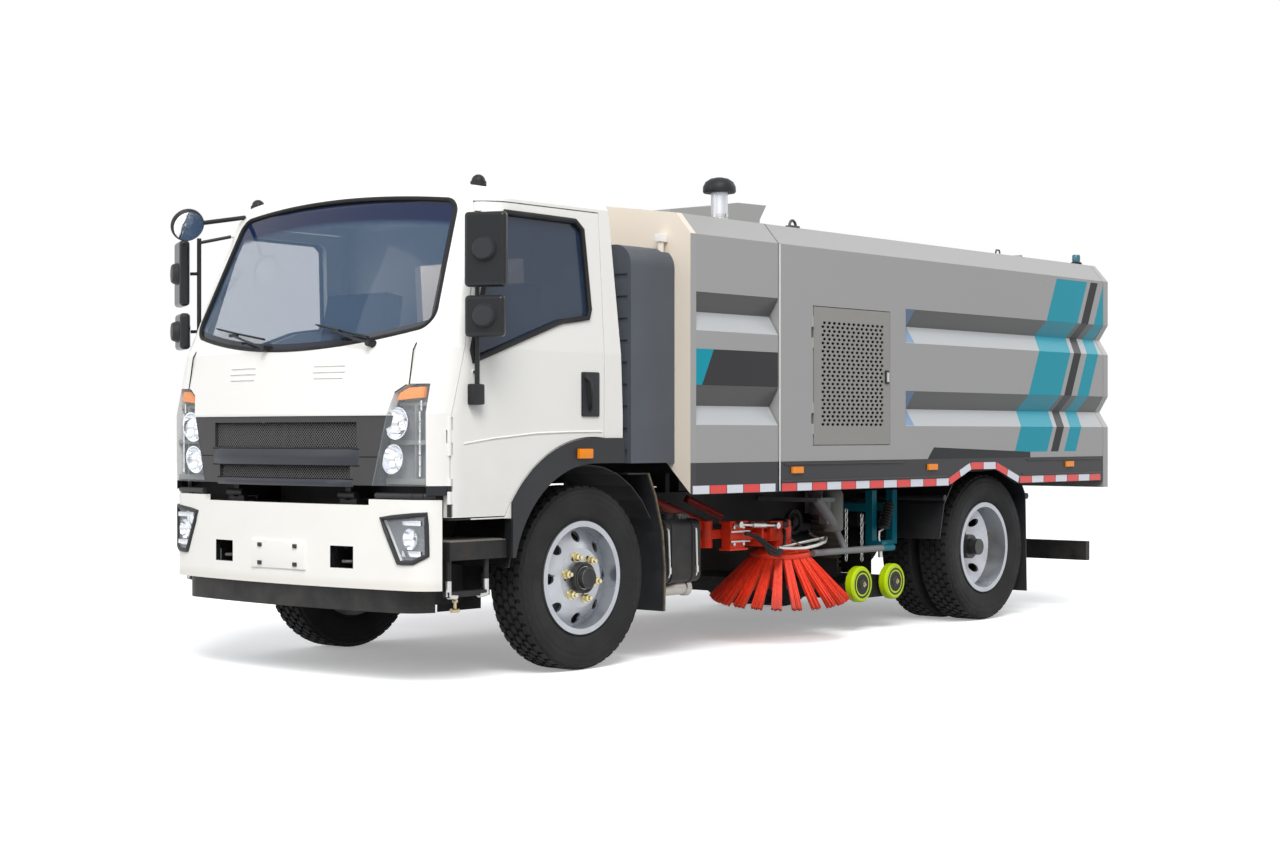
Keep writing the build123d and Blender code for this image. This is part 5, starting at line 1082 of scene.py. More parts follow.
def make_lamp_insides():
    """Chromed bowls, amber indicator, running light strip and housing behind each headlamp lens."""
    for side, s in SIDES:
        chrome = Form(side)
        for y, z, radius in ((0.785, 1.245, 0.072), (0.76, 1.075, 0.066)):
            x = cab_front_x(y, z) - 0.07
            chrome.lathe((x, y, z), (1, 0, s * 0.12), [(0.022, 0.0), (radius * 0.62, 0.012), (radius * 0.88, 0.032),
                (radius, 0.058), (radius + 0.006, 0.058)], 32)
            chrome.ball((x + 0.016, y, z), 0.026)
        for number in range(7):
            z = 1.0 + number * 0.052
            y = 0.905
            x = cab_front_x(y, z) - 0.036
            chrome.box(x - 0.006, x + 0.006, y - 0.006, y + 0.006, z, z + 0.048, 0.002)
        chrome.piece("lamp_bowls_", "chrome", "cab")
        frame_form = Form(side)
        for y0, y1, z0, z1 in ((0.668, 0.95, 0.962, 0.99), (0.7, 0.95, 1.15, 1.172), (0.745, 0.95, 1.335, 1.352),
                (0.866, 0.876, 0.98, 1.34)):
            x = min(cab_front_x(y0, z0), cab_front_x(y1, z1)) - 0.045
            frame_form.box(x - 0.035, x + 0.02, y0, y1, z0, z1, 0.003)
        frame_form.piece("lamp_frames_", "grey_part", "cab")
        back = Form(side)
        outline = [(0.655, 0.962), (0.742, 1.292), (0.772, 1.396), (0.832, 1.43), (0.948, 1.434), (0.948, 0.962)]
        points = [(cab_front_x(y, z) - 0.08, y, z) for y, z in outline]
        back.prism(points, (-0.006, 0, 0))
        back.piece("lamp_back_", "lamp_house", "cab")
        amber = Form(side)
        outline = [(0.772, 1.362), (0.786, 1.398), (0.835, 1.422), (0.925, 1.426), (0.925, 1.374)]
        points = [(cab_front_x(y, z) - 0.03, y, z) for y, z in outline]
        amber.prism(points, (0.018, 0, 0), 0.003)
        amber.piece("front_indicator_", "amber_lens", "cab")


@both_sides
def make_fog_insides(side):
    chrome = Form(side)
    place = (3.1, 0.862, 0.705)
    chrome.lathe(place, (1, 0, 0), [(0.01, 0.0), (0.036, 0.008), (0.048, 0.026), (0.05, 0.03)], 28)
    chrome.box(3.105, 3.125, 0.8, 0.93, 0.62, 0.648, 0.004)
    chrome.box(3.105, 3.125, 0.8, 0.93, 0.768, 0.792, 0.004)
    chrome.piece("fog_bowl_", "chrome", "chassis")
    rim = Form(side)
    outline = [(0.706, 0.8), (0.948, 0.824), (0.952, 0.629), (0.892, 0.595), (0.81, 0.592)]
    points = []
    for (y0, z0), (y1, z1) in zip(outline, outline[1:] + outline[:1]):
        for k in range(4):
            y, z = y0 + (y1 - y0) * k / 4, z0 + (z1 - z0) * k / 4
            points.append((bumper_x(y) + 0.001, y, z))
    rim.sweep(points, 0.012, 8, closed=True)
    rim.piece("fog_rim_", "trim", "chassis")


def bumper_x(y):
    """Place of the bumper's front surface."""
    y = abs(y)
    if y < 0.857:
        return -2.185 + sqrt(5.4 ** 2 - y * y)
    return 2.9686 + sqrt(max(0.0, 0.18 ** 2 - (y - 0.83) ** 2))


def make_bumper_trims():
    plate = Form()
    x = bumper_x(0.205) - 0.002
    plate.box(x, x + 0.012, -0.205, 0.205, 0.536, 0.674, 0.003)
    plate.piece("blank_plate", "plate", "chassis")
    bolts = Form()
    for y in (-0.135, 0.135):
        for z in (0.56, 0.65):
            bolts.box(x + 0.011, x + 0.019, y - 0.014, y + 0.014, z - 0.01, z + 0.01, 0.003)
    bolts.piece("plate_clips", "black", "chassis")
    strip = Form()
    for s in (1, -1):
        points = [(bumper_x(y) - 0.014, s * y, 0.908) for y in (0.66, 0.74, 0.82, 0.88, 0.93, 0.97)]
        for low, high in zip(points, points[1:]):
            strip.tube(low, high, 0.014, sides=8)
    strip.piece("bumper_corner_strips", "trim", "chassis")
    hooks = Form()
    for s in (1, -1):
        eye = ((3.1, -0.03), (3.155, -0.03), (3.172, -0.012), (3.172, 0.012), (3.155, 0.03), (3.1, 0.03))
        hooks.sweep([(x, s * 0.45 + across, 0.585) for x, across in eye], 0.009, 10)
    hooks.piece("tow_eyes", "dark_steel", "chassis")


def make_side_glass_seals():
    points = [(2.68, 2.282), (2.082, 2.276), (2.045, 1.792), (2.268, 1.762), (2.565, 1.661), (2.916, 1.539)]
    for side, _ in SIDES:
        loop = []
        for (x0, z0), (x1, z1) in zip(points, points[1:] + points[:1]):
            for k in range(5):
                share = 0.08 + 0.84 * k / 4
                x, z = x0 + (x1 - x0) * share, z0 + (z1 - z0) * share
                loop.append((x, door_y(z) + 0.001, z))
        form = Form(side).sweep(loop, 0.014, 8, closed=True)
        form.piece("window_seal_", "rubber", "cab_door_")


@both_sides
def make_door_parts(side):
    Form(side).box(1.992, 2.123, 1.036, 1.05, 1.29, 1.515, 0.01).piece("handle_frame_", "black", "cab_door_")
    grip = Form(side)
    grip.sweep([(2.105, 1.047, 1.495), (2.085, 1.066, 1.47), (2.07, 1.068, 1.4), (2.062, 1.064, 1.335),
        (2.06, 1.047, 1.315)], 0.01, 10)
    grip.piece("handle_grip_", "black", "cab_door_")
    crease = Form(side)
    crease.sweep([(2.95, 1.0375, 1.155), (2.75, 1.0385, 1.18), (2.45, 1.039, 1.205), (2.2, 1.039, 1.212),
        (1.97, 1.039, 1.214)], 0.005, 8)
    crease.piece("door_crease_", "white", "cab_door_")
    Form(side).box(2.852, 2.925, 1.03, 1.085, 1.34, 1.44, 0.012).piece("mirror_foot_", "black", "cab_door_")
    Form(side).box(2.065, 2.166, 1.05, 1.072, 1.078, 1.128, 0.008).piece("arch_lamp_", "amber_lens", "cab")


def make_mirror_faces():
    for side, s in SIDES:
        form = Form(side)
        for x, y, z, width, height in ((2.925, 1.165, 2.071, 0.205, 0.354), (2.925, 1.16, 1.757, 0.195, 0.196)):
            turn = Matrix.Rotation(s * MIRROR_TURN, 4, "Z")
            spot = Matrix.Translation(form.at((x, y, z))) @ turn
            made = bmesh.ops.create_cube(form.bm, size=1.0)["verts"]
            bmesh.ops.transform(form.bm, matrix=spot @ Matrix.Translation((-0.0275, 0, 0)) @ Matrix.Diagonal((0.004,
                width * 0.86, height * 0.9, 1)), verts=made)
        form.piece("mirror_face_", "mirror_glass", "cab_door_")
        cups = Form(side)
        for z, radius in ((2.071, 0.052), (1.757, 0.05)):
            turn = Vector((cos(MIRROR_TURN), sin(MIRROR_TURN), 0))
            start = Vector((2.925, 1.1625, z)) + turn * 0.022
            cups.lathe(start, turn, [(radius * 1.25, 0.0), (radius * 1.1, 0.016), (radius, 0.03),
                (radius * 0.9, 0.036), (0.0, 0.037)], 32)
        cups.piece("mirror_joint_", "trim", "cab_door_")


def make_round_mirror():
    form = Form()
    axis = Vector((0.25, 0.85, -0.45)).normalized()
    centre = Vector((3.07, -0.925, 2.312))
    form.lathe(centre, axis, [(0.08, 0.0205), (0.055, 0.026), (0.028, 0.029), (0.0, 0.03)], 40)
    form.piece("round_mirror_face", "mirror_glass", "cab")


# Body outside
PANEL_Y = 1.15
TAPE_LENGTH = 0.134
TAPE_PITCH = 0.147


def tape_run(red, white, points, first_red, face_y):
    """Alternating red and white film along one straight run of the skirt."""
    (x0, z0), (x1, z1) = points
    length = hypot(x1 - x0, z1 - z0)
    count = max(1, round(length / TAPE_PITCH))
    along = Vector((x1 - x0, 0, z1 - z0)) / length
    up = Vector((-along.z, 0, along.x)) * (0.022 if along.x > 0 else -0.022)
    for number in range(count):
        middle = Vector((x0, face_y, z0)) + along * length * (number + 0.5) / count
        half = along * (length / count / 2 - (TAPE_PITCH - TAPE_LENGTH) / 4)
        outline = [middle - half - up, middle + half - up, middle + half + up, middle - half + up]
        form = red if (number % 2 == 0) == first_red else white
        form.prism(outline, (0, 0.0012, 0))


def make_tape():
    arch = [(-1.15, 0.905), (-1.408, 1.0), (-1.712, 1.0), (-2.001, 0.905)]
    runs = [((0.585, 0.905), (-1.15, 0.905), True, "hopper")]
    runs += [(low, high, True, "hopper") for low, high in zip(arch, arch[1:])]
    runs += [((-2.01, 0.905), (-3.11, 0.905), True, "hopper"), ((1.372, 0.905), (0.64, 0.905), False, "chassis")]
    for side, _ in SIDES:
        for body in ("hopper", "chassis"):
            red, white = Form(side), Form(side)
            for low, high, first_red, rider in runs:
                if rider == body:
                    tape_run(red, white, (low, high), first_red, PANEL_Y + 0.0001)
            red.piece("tape_red_" + body + "_", "tape_red", body, smooth=0)
            white.piece("tape_white_" + body + "_", "tape_white", body, smooth=0)


@both_sides
def make_skirt_ledges(side):
    """Folded lip along the skirt over the tape, and the pale strip at the joint of the two sections."""
    ledge = Form(side)
    ledge.box(-1.13, 0.59, 1.1495, 1.1575, 0.934, 0.944, 0.002)
    ledge.box(-3.12, -2.04, 1.1495, 1.1575, 0.934, 0.944, 0.002)
    ledge.box(-0.64, 0.56, 1.1495, 1.1575, 1.03, 1.036, 0.002)
    ledge.box(-3.11, -2.1, 1.1495, 1.1575, 1.03, 1.036, 0.002)
    ledge.piece("skirt_ledge_", "skirt", "hopper")
    Form(side).box(0.598, 0.6065, 1.1498, 1.153, 0.885, 2.258, 0.001).piece("joint_strip_", "white", "hopper")


LOUVRE = (0.287, -0.5, 1.136, 1.932)
FIELD = (0.205, -0.43, 1.245, 1.85)
HOLE_COLUMNS = 13
HOLE_ROWS = 26


def perforated_panel(form, face_y, depth):
    """Panel with staggered rows of eight-sided holes, left open to the back plate."""
    x0, x1, z0, z1 = FIELD
    step_x = (x1 - x0) / HOLE_COLUMNS
    step_z = (z1 - z0) / HOLE_ROWS
    for row in range(HOLE_ROWS):
        offset = 0.25 if row % 2 else -0.25
        for column in range(HOLE_COLUMNS):
            left, right = x0 + step_x * column, x0 + step_x * (column + 1)
            low, high = z0 + step_z * row, z0 + step_z * (row + 1)
            cx, cz = (left + right) / 2 + offset * step_x * 0.62, (low + high) / 2
            border = [(right, cz), (right, high), ((left + right) / 2, high), (left, high), (left, cz), (left, low),
                ((left + right) / 2, low), (right, low)]
            outer = form.ring([form.at((x, face_y, z)) for x, z in border])
            spots = []
            for k in range(8):
                angle = pi / 4 * k
                spots.append((cx - 0.0165 * cos(angle), cz + 0.0088 * sin(angle)))
            rim = form.ring([form.at((x, face_y, z)) for x, z in spots])
            form.skin(outer, rim)
            form.skin(rim, form.ring([form.at((x, face_y - depth, z)) for x, z in spots]))


@both_sides
def make_louvre_doors(side):
    """Side doors with a perforated field, seen through to a near-black back plate of painted shadow, and a flush
    latch.
    """
    x1, x0, z0, z1 = LOUVRE[0] - 0.01, LOUVRE[1] + 0.004, LOUVRE[2] + 0.004, LOUVRE[3] - 0.004
    front, rear, low_z, high_z = FIELD
    panel = Form(side)
    perforated_panel(panel, PANEL_Y, 0.004)
    for bx0, bx1, bz0, bz1 in ((front, x1, z0, z1), (x0, rear, z0, z1), (rear, front, z0, low_z),
            (rear, front, high_z, z1)):
        panel.box(bx0, bx1, 1.138, PANEL_Y, bz0, bz1)
    made = panel.piece("louvre_panel_", "louvre", "side_door_", smooth=0)
    # painted shadow: near-black plate behind the holes
    back = Form(side)
    back.box(x0 + 0.01, x1 - 0.01, 1.121, 1.133, z0 + 0.01, z1 - 0.01, 0.002)
    back.piece("louvre_shadow_back_", "shadow", "side_door_")
    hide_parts("louvre_" + side)
    Form(side).box(-0.482, -0.44, 1.1495, 1.156, 1.5, 1.58, 0.003).piece("louvre_latch_", "black", "side_door_")
    Form(side).box(-0.476, -0.452, 1.155, 1.16, 1.512, 1.568, 0.002).piece("louvre_paddle_", "steel", "side_door_")


@both_sides
def make_beacons(side):
    """Small marker lamps at the tail corners and lifting eyes on the roof's edge."""
    base, dome, eye = Form(side), Form(side), Form(side)
    foot = (-3.067, ROOF_EDGE_Y, 2.382)
    base.lathe(foot, (0, 0, 1), [(0.0, 0.0), (0.038, 0.0), (0.04, 0.01), (0.03, 0.02), (0.0, 0.02)], 32)
    base.piece("beacon_base_", "black", "hopper")
    dome.lathe((foot[0], foot[1], foot[2] + 0.02), (0, 0, 1), [(0.026, 0.0), (0.028, 0.012), (0.028, 0.04),
        (0.024, 0.048), (0.0, 0.05)], 32)
    dome.piece("beacon_dome_", "beacon", "hopper")
    ring = []
    for k in range(13):
        angle = pi * k / 12
        ring.append((0.258 + 0.03 * cos(angle), ROOF_EDGE_Y, 2.394 + 0.034 * sin(angle)))
    eye.sweep(ring, 0.008, 10)
    eye.box(0.214, 0.302, ROOF_EDGE_Y - 0.02, ROOF_EDGE_Y + 0.02, 2.384, 2.398, 0.003)
    loop = ((-2.04, 2.392), (-2.032, 2.412), (-1.996, 2.412), (-1.988, 2.392))
    eye.sweep([(x, ROOF_EDGE_Y, z) for x, z in loop], 0.006, 8)
    eye.piece("lifting_eye_", "dark_steel", "hopper")


# Sweeping gear
BROOM = Vector((0.171, 0.83, 0.51))
BROOM_LEAN = radians(5.0)
TUFTS = 21
STRANDS = 9


def broom_point(s, radius, angle, height):
    """Point round the leaning broom axis of one side."""
    tip = sin(BROOM_LEAN) / sqrt(2)
    axis = Vector((tip, s * tip, cos(BROOM_LEAN)))
    across = Vector((1, 0, -axis.x / axis.z)).normalized()
    third = axis.cross(across)
    place = Vector((BROOM.x, s * BROOM.y, BROOM.z))
    return place + radius * (cos(angle) * across + sin(angle) * third) + height * axis


def make_brooms():
    for side, s in SIDES:
        disc = Form()
        axis = broom_point(s, 0, 0, 1) - broom_point(s, 0, 0, 0)
        disc.lathe(broom_point(s, 0, 0, 0), axis, [(0.0, -0.016), (0.16, -0.016), (0.177, -0.012), (0.18, 0.004),
            (0.174, 0.014), (0.15, 0.016), (0.075, 0.02), (0.062, 0.04), (0.0, 0.04)], 56)
        for number in range(8):
            angle = pi / 4 * number
            disc.tube(broom_point(s, 0.12, angle, 0.012), broom_point(s, 0.12, angle, 0.027), 0.011, sides=6)
        disc.piece("broom_disc_" + side, "orange", "broom_" + side)
        strips = Form()
        for tuft in range(TUFTS):
            middle = 2 * pi * tuft / TUFTS
            for strand in range(STRANDS):
                share = (strand + 0.5) / STRANDS - 0.5
                spread = share * 0.34
                wobble = 0.01 * sin(12.9 * tuft + 7.7 * strand)
                root = middle + share * 0.26
                tip = middle + spread * 0.46
                start = broom_point(s, 0.156, root, -0.01)
                end = broom_point(s, 0.392 + wobble, tip, -0.268 + 0.5 * wobble)
                side_way = (broom_point(s, 0.3, middle + 0.1, 0) - broom_point(s, 0.3, middle - 0.1, 0)).normalized()
                thick = (end - start).normalized().cross(side_way)
                for layer in (-1, 1):
                    shift = thick * 0.0055 * layer
                    rings = []
                    for spot, a, b in ((start + shift, 0.0026, 0.004), (end + shift * 1.3, 0.0031, 0.005)):
                        rings.append(strips.ring([spot + side_way * a * u + thick * b * v for u,
                            v in ((-1, -1), (1, -1), (1, 1), (-1, 1))]))
                    strips.bm.faces.new(rings[0][::-1])
                    strips.bm.faces.new(rings[1])
                    strips.skin(*rings)
        made = strips.piece("broom_strips_" + side, "bristle", "broom_" + side, smooth=0)
        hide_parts("broom_" + side)


@both_sides
def make_arm_fittings(side):
    """Pivot housing, motor mount, control rod, guard bars and hydraulic lines on each broom arm."""
    body = "broom_arm_"
    plates = Form(side)
    plates.box(0.6, 0.735, 0.84, 0.905, 0.56, 0.705, 0.01)
    plates.box(0.585, 0.75, 0.836, 0.915, 0.7, 0.712, 0.003)
    plates.box(0.585, 0.75, 0.836, 0.915, 0.548, 0.56, 0.003)
    plates.box(0.165, 0.33, 0.84, 0.88, 0.585, 0.7, 0.012)
    plates.box(0.3, 0.61, 0.838, 0.856, 0.6, 0.64, 0.004)
    for x in (0.165, 0.42):
        plates.box(x, x + 0.016, 0.77, 0.9, 0.56, 0.705, 0.003)
    plates.piece("arm_plates_", "orange", body)
    bright = Form(side)
    bright.tube((0.69, 0.93, 0.694), (0.31, 0.905, 0.676), 0.011)
    bright.tube((0.56, 0.922, 0.688), (0.43, 0.912, 0.682), 0.019)
    for x, y, z in ((0.69, 0.93, 0.694), (0.31, 0.905, 0.676)):
        bright.tube((x, (y - 0.02), z), (x, (y + 0.02), z), 0.018, sides=16)
    for z in (0.6, 0.655):
        bright.sweep([(0.76, 0.926, z), (0.59, 0.93, z), (0.56, 0.9, z - 0.004)], 0.006, 8)
    for x in (0.625, 0.71):
        for z in (0.585, 0.68):
            bright.tube((x, 0.903, z), (x, 0.916, z), 0.011, sides=6)
    bright.piece("arm_bright_parts_", "steel", body)
    lines = Form(side)
    for shift in (0.0, 0.022, 0.044):
        lines.sweep([(0.64 - shift, 0.935, 0.64), (0.56 - shift, 0.965, 0.628 - shift), (0.47, 0.985, 0.566 - shift),
            (0.39, 0.985, 0.532 - shift * 0.5), (0.31, 0.96, 0.548), (0.25, 0.925, 0.6 + shift),
            (0.225, 0.895, 0.65)], 0.0085, 8)
    lines.piece("arm_lines_", "rubber", body)
    motor = Form(side)
    motor.lathe((0.171, 0.83, 0.662), (0, 0, 1), [(0.0, 0.0), (0.066, 0.0), (0.066, 0.03), (0.05, 0.044),
        (0.03, 0.05), (0.0, 0.05)], 32)
    motor.piece("broom_motor_cap_", "black", body)
    guard = Form(side)
    guard.sweep([(0.359, 0.96, 0.552), (0.28, 1.0, 0.546), (0.187, 1.015, 0.545), (0.06, 1.01, 0.556),
        (-0.06, 0.985, 0.572), (-0.11, 0.955, 0.592)], 0.0115, 10)
    guard.sweep([(0.359, 0.96, 0.552), (0.2, 0.955, 0.566), (0.02, 0.94, 0.58), (-0.11, 0.955, 0.592)], 0.009, 10)
    for x, y, z in ((0.187, 1.012, 0.547), (-0.05, 0.983, 0.57)):
        guard.tube((x, y, z), (x, (y - 0.1), z + 0.05), 0.007, sides=10)
    guard.piece("broom_guard_bar_", "steel", body)


def make_under_parts():
    """Struts, a water filter, a pump pulley, lift chains, strut bellows and linkage between the axles."""
    for side, s in SIDES:
        red = Form(side)
        red.tube((1.24, 0.7, 0.856), (0.8, 0.76, 0.7), 0.026, sides=16)
        red.tube((0.8, 0.64, 0.836), (0.56, 0.7, 0.73), 0.022, sides=16)
        red.piece("tie_struts_", "red", "chassis")
        grey = Form(side)
        grey.lathe((-0.4035, 0.8, 0.613), (0, 0, 1), [(0.0, 0.0), (0.05, 0.0), (0.062, 0.014), (0.062, 0.225),
            (0.054, 0.245), (0.0, 0.245)], 32)
        grey.box(-0.345, -0.3, 0.8 - 0.03, 0.8 + 0.03, 0.66, 0.8, 0.006)
        grey.piece("water_filter_", "grey_part", "chassis")
        pulley = Form(side)
        pulley.lathe((-0.243, 0.585, 0.672), (0, 1, 0), [(0.0, 0.01), (0.034, 0.01), (0.036, 0.024), (0.05, 0.018),
            (0.072, 0.022), (0.078, 0.04), (0.074, 0.052), (0.058, 0.048), (0.052, 0.03), (0.03, 0.034),
            (0.026, 0.056), (0.0, 0.058)], 36)
        pulley.piece("pump_pulley_", "black", "chassis")
        chains = Form(side)
        for x, y, high, low in ((-0.472, 0.85, 0.735, 0.4), (-0.62, 0.862, 0.7, 0.405)):
            count = int((high - low) / 0.026)
            for link in range(count):
                z = high - 0.026 * link
                wide = Vector((0.008, 0, 0)) if link % 2 else Vector((0, s * 0.008, 0))
                middle = Vector((x, y, z))
                loop = [middle + wide + Vector((0, 0, 0.01)), middle + Vector((0, 0, 0.018)),
                    middle - wide + Vector((0, 0, 0.01)), middle - wide - Vector((0, 0, 0.01)),
                    middle - Vector((0, 0, 0.018)), middle + wide - Vector((0, 0, 0.01))]
                chains.sweep(loop, 0.0032, 6, closed=True)
        chains.piece("lift_chains_", "steel", "nozzle")
        bellows = Form(side)
        start, end = Vector((-0.905, 0.872, 0.776)), Vector((-0.838, 0.872, 0.618))
        rings = []
        for fold in range(9):
            rings += [(0.027, fold / 9 * 0.17), (0.038, (fold + 0.5) / 9 * 0.17)]
        bellows.lathe(start, end - start, [(0.0, 0.0)] + rings + [(0.027, 0.17), (0.0, 0.17)], 24)
        bellows.piece("strut_bellows_", "rubber", "chassis")
        linkage = Form(side)
        linkage.sweep([(-0.838, 0.872, 0.615), (-0.795, 0.872, 0.6), (-0.79, 0.872, 0.56), (-0.806, 0.872, 0.52)],
            0.007, 8)
        linkage.tube((-0.806, 0.872, 0.44), (-0.806, 0.872, 0.52), 0.014, sides=12)
        linkage.piece("strut_linkage_", "steel", "chassis")


def ringed_hose(form, path, radius, ring):
    """Corrugated hose: rings along a smooth path of points."""
    points = [Vector(point) for point in path]
    line = []
    for a, b in zip(points, points[1:]):
        steps = max(2, round((b - a).length / ring))
        line += [a.lerp(b, k / steps) for k in range(steps)]
    line.append(points[-1])
    form.sweep(line, radius * 0.86, 14)
    for number in range(1, len(line) - 1):
        along = (line[number + 1] - line[number - 1]).normalized()
        half = ring * 0.28
        form.lathe(line[number] - along * half, along, [(radius * 0.86, 0.0), (radius, half * 0.6),
            (radius, half * 1.4), (radius * 0.86, half * 2)], 14)


def make_suction_hoses():
    """Corrugated suction hoses from the nozzle's collars to the fixed pipes."""
    box_low, box_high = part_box("suction_hoses")
    for side, _ in SIDES:
        form = Form(side)
        centre_y = (box_high[1] - (box_high[0] - box_low[0]) / 2)
        x = (box_low[0] + box_high[0]) / 2
        radius = (box_high[0] - box_low[0]) / 2
        ringed_hose(form, [(x, centre_y, box_low[2]), (x, centre_y, (box_low[2] + box_high[2]) / 2),
            (x, centre_y, box_high[2])], radius, 0.03)
        made = form.piece("suction_hose_", "hose", "chassis")
        if side == "left":
            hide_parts("suction_hoses")


@both_sides
def make_casters(side):
    """Black dished hub with bolts and a brass end on each caster wheel."""
    for name, x in CASTERS:
        body = name + "_caster_"
        hub = Form(side)
        hub.lathe((x, 0.905, CASTER_Z), (0, 1, 0), [(0.084, 0.0295), (0.082, 0.0325), (0.074, 0.0325), (0.068, 0.026),
            (0.036, 0.022), (0.03, 0.034), (0.0, 0.036)], 40)
        hub.piece("caster_hub_" + body, "black", body)
        bolts = Form(side)
        for number in range(5):
            angle = 2 * pi * number / 5
            spot = Vector((x + 0.052 * cos(angle), 0, CASTER_Z + 0.052 * sin(angle)))
            bolts.tube((spot.x, 0.926, spot.z), (spot.x, 0.934, spot.z), 0.0075, sides=6)
        bolts.piece("caster_bolts_" + body, "steel", body)
        nut = Form(side)
        nut.tube((x, 0.939, CASTER_Z), (x, 0.95, CASTER_Z), 0.016, sides=6)
        nut.tube((x, 0.95, CASTER_Z), (x, 0.958, CASTER_Z), 0.009, 0.007, sides=14)
        nut.piece("caster_nut_" + body, "brass", body)


def make_tank_fittings():
    """Filler neck and ribbed cap, strap rods with their nuts, and the tail pipe sleeve with its flanges."""
    cap = Form()
    cap.lathe((1.178, 0.905, 0.7), (0, 0, 1), [(0.0, 0.0), (0.03, 0.0), (0.03, 0.02), (0.044, 0.024), (0.044, 0.06),
        (0.038, 0.072), (0.0, 0.076)], 28)
    for number in range(14):
        angle = 2 * pi * number / 14
        x, y = 1.178 + 0.044 * cos(angle), 0.905 + 0.044 * sin(angle)
        cap.box(x - 0.003, x + 0.003, y - 0.003, y + 0.003, 0.726, 0.76)
    cap.piece("tank_cap", "dark_steel", "chassis")
    rods = Form()
    for x0, x1 in ((1.385, 1.374), (1.151, 1.144)):
        rods.sweep([(x0, 0.975, 0.705), (x0, 0.996, 0.69), (x0, 0.998, 0.67), (x1, 0.998, 0.462), (x1, 0.99, 0.44),
            (x1, 0.965, 0.428)], 0.006, 8)
        rods.tube((x1, 0.998, 0.455), (x1, 0.998, 0.49), 0.01, sides=6)
    rods.piece("tank_strap_rods", "steel", "chassis")
    pipe = Form()
    pipe.lathe((1.3, 0.8, 0.355), (-1, 0, 0), [(0.034, 0.0), (0.0375, 0.0), (0.0375, 0.06), (0.044, 0.062),
        (0.044, 0.074), (0.0375, 0.076), (0.0375, 0.262), (0.044, 0.266), (0.046, 0.3), (0.034, 0.3), (0.034, 0.15),
        (0.0, 0.15)], 32)
    pipe.piece("tail_pipe_sleeve", "pipe", "chassis")


def make_guard_wear():
    """Scuffed strip along the outer edge of each front mudguard."""
    y0 = 0.95
    line = [(1.571, 0.997), (1.512, 0.873), (1.454, 0.683), (1.434, 0.483), (1.44, 0.262)]
    for side, _ in SIDES:
        form = Form(side)
        for (x0, z0), (x1, z1) in zip(line, line[1:]):
            form.prism([(x0 - 0.011, y0, z0), (x1 - 0.011, y0, z1), (x1 + 0.002, y0, z1), (x0 + 0.002, y0, z0)],
                (0, 1.0125 - y0, 0))
        form.piece("guard_edge_", "worn", "chassis")


def make_liners():
    """Dark inner arches over the front wheels, and dark rubber sheets along the frame and round the nozzle that stand
    for the deep shade under the body (painted shadow).
    """
    for side, _ in SIDES:
        liner = Form(side)
        y0, y1 = 0.56, 1.0
        inner, outer = [], []
        for k in range(13):
            angle = radians(8 + 142 * k / 12)
            for ring, radius in ((inner, 0.572), (outer, 0.577)):
                ring.append((FRONT_X + radius * cos(angle), AXLE_Z + radius * sin(angle)))
        for k in range(12):
            quad = [inner[k], inner[k + 1], outer[k + 1], outer[k]]
            liner.prism([(x, y0, z) for x, z in quad], (0, y1 - y0, 0))
        liner.piece("arch_liner_", "black", "cab")
        shield = Form(side)
        shield.box(2.53, 3.035, 0.6, 0.604, 0.355, 0.645, 0.001)
        shield.box(2.25, 2.56, 0.45, 0.454, 0.3, 0.64, 0.001)
        shield.box(2.82, 3.035, 0.6, 0.604, 0.64, 0.79, 0.001)
        shield.piece("splash_panel_", "black", "chassis")
        # painted shadow: dark sheet for the deep shade under the frame
        Form(side).box(-0.48, 1.04, 0.418, 0.424, 0.4, 0.66, 0.001).piece("shade_curtain_", "flap", "chassis")
    # painted shadow: dark sheets at the front and rear of the nozzle
    apron = Form()
    apron.box(-0.904, -0.898, -0.74, 0.74, 0.328, 0.45, 0.001)
    apron.box(-0.534, -0.528, -0.74, 0.74, 0.328, 0.44, 0.001)
    apron.piece("nozzle_shade_sheets", "flap", "nozzle")


def make_stack_cap():
    """Rain cap of the intake pipe and its bright clamp."""
    clamp = Form()
    clamp.lathe((0.865, 0.93, 2.4), (0, 0, 1), [(0.0475, 0.0), (0.0495, 0.0), (0.0495, 0.018), (0.0475, 0.018)], 36)
    clamp.tube((0.865, 0.985, 2.4), (0.865, 0.985, 2.418), 0.007, sides=10)
    clamp.piece("stack_clamp", "steel", "chassis")
    cap = Form()
    cap.lathe((0.865, 0.93, 2.54), (0, 0, 1), [(0.05, -0.004), (0.0875, -0.004), (0.092, 0.004), (0.091, 0.03),
        (0.078, 0.056), (0.052, 0.073), (0.02, 0.081), (0.0, 0.082)], 40)
    cap.piece("stack_rain_cap", "black", "chassis")


def make_tube_clamps():
    """White clamps on the tube of the front wall."""
    form = Form()
    for z in (1.348, 1.796, 2.245):
        form.box(1.388, 1.446, 0.948, 0.996, z - 0.022, z + 0.022, 0.005)
    form.piece("tube_clamps", "white", "chassis")


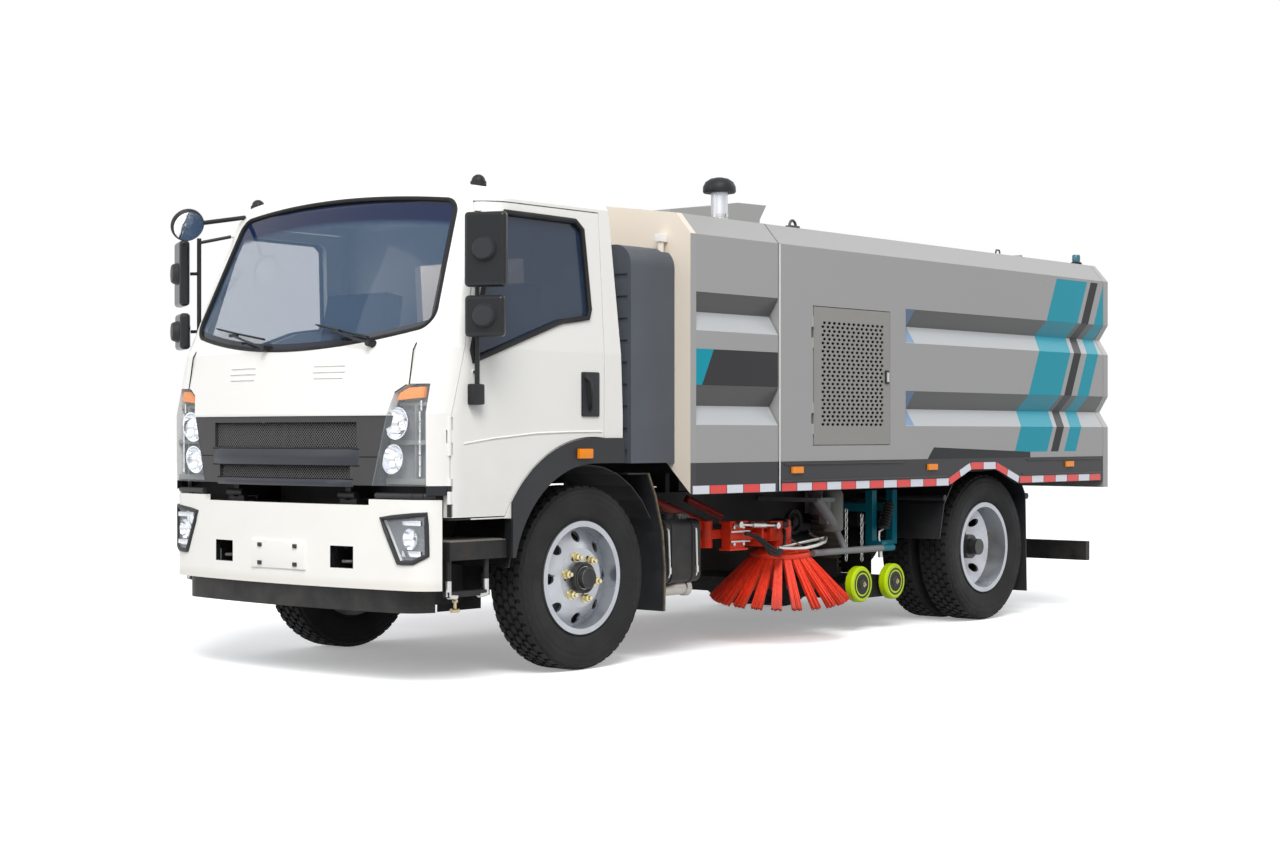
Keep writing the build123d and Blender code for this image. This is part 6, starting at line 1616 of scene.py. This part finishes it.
def make_step_fittings():
    """Tread plate on each step box, bright stirrup ends and the drain cock under the bumper's end."""
    for side, _ in SIDES:
        tread = Form(side)
        tread.box(2.64, 3.008, 0.725, 1.013, 0.6885, 0.6925, 0.001)
        for row in range(12):
            x = 2.655 + row * 0.03
            tread.box(x, x + 0.01, 0.735, 1.003, 0.692, 0.6965, 0.001)
        tread.piece("step_tread_", "tread", "chassis")
        ends = Form(side)
        y = 0.989
        for x in (2.75, 3.0):
            ends.tube((x, y, 0.434), (x, y, 0.505), 0.0145, sides=14)
            ends.ball((x, y, 0.438), 0.0155)
        ends.tube((2.75, y, 0.434), (2.8, y, 0.43), 0.0145, sides=14)
        ends.tube((3.0, y, 0.434), (2.95, y, 0.43), 0.0145, sides=14)
        ends.piece("stirrup_ends_", "steel", "chassis")
    cock = Form()
    cock.tube((2.9, 0.93, 0.36), (2.9, 0.93, 0.44), 0.008, sides=12)
    cock.tube((2.878, 0.93, 0.357), (2.926, 0.93, 0.357), 0.011, sides=12)
    cock.box(2.892, 2.908, 0.918, 0.942, 0.395, 0.41, 0.002)
    cock.tube((2.9, 0.93, 0.44), (2.9, 0.985, 0.44), 0.007, sides=10)
    cock.piece("drain_cock", "brass", "chassis")


def make_slot_backs():
    """Near-black boxes of painted shadow behind the tow slots and the plate opening."""
    form = Form()
    for y0, y1 in ((-0.535, -0.367), (0.367, 0.535), (-0.096, 0.096)):
        form.box(3.06, 3.066, y0, y1, 0.54, 0.676, 0.001)
        for y in (y0, y1):
            form.box(3.066, 3.15, y - 0.002, y + 0.002, 0.54, 0.676)
        for z in (0.54, 0.676):
            form.box(3.066, 3.15, y0, y1, z - 0.002, z + 0.002)
    form.piece("slot_boxes", "shadow", "chassis")


make_camera()
make_world()
make_floor()
make_lamps()
make_materials()
dress_nodes()
make_tyres()
make_wheel_fittings()
make_wipers()
make_windscreen_seal()
make_front_seams()
make_grille_mesh()
make_roof_markers()
make_lamp_insides()
make_fog_insides()
make_bumper_trims()
make_side_glass_seals()
make_door_parts()
make_mirror_faces()
make_round_mirror()
make_tape()
make_skirt_ledges()
make_louvre_doors()
make_beacons()
make_brooms()
make_arm_fittings()
make_under_parts()
make_suction_hoses()
make_casters()
make_tank_fittings()
make_guard_wear()
make_liners()
make_stack_cap()
make_tube_clamps()
make_step_fittings()
make_slot_backs()
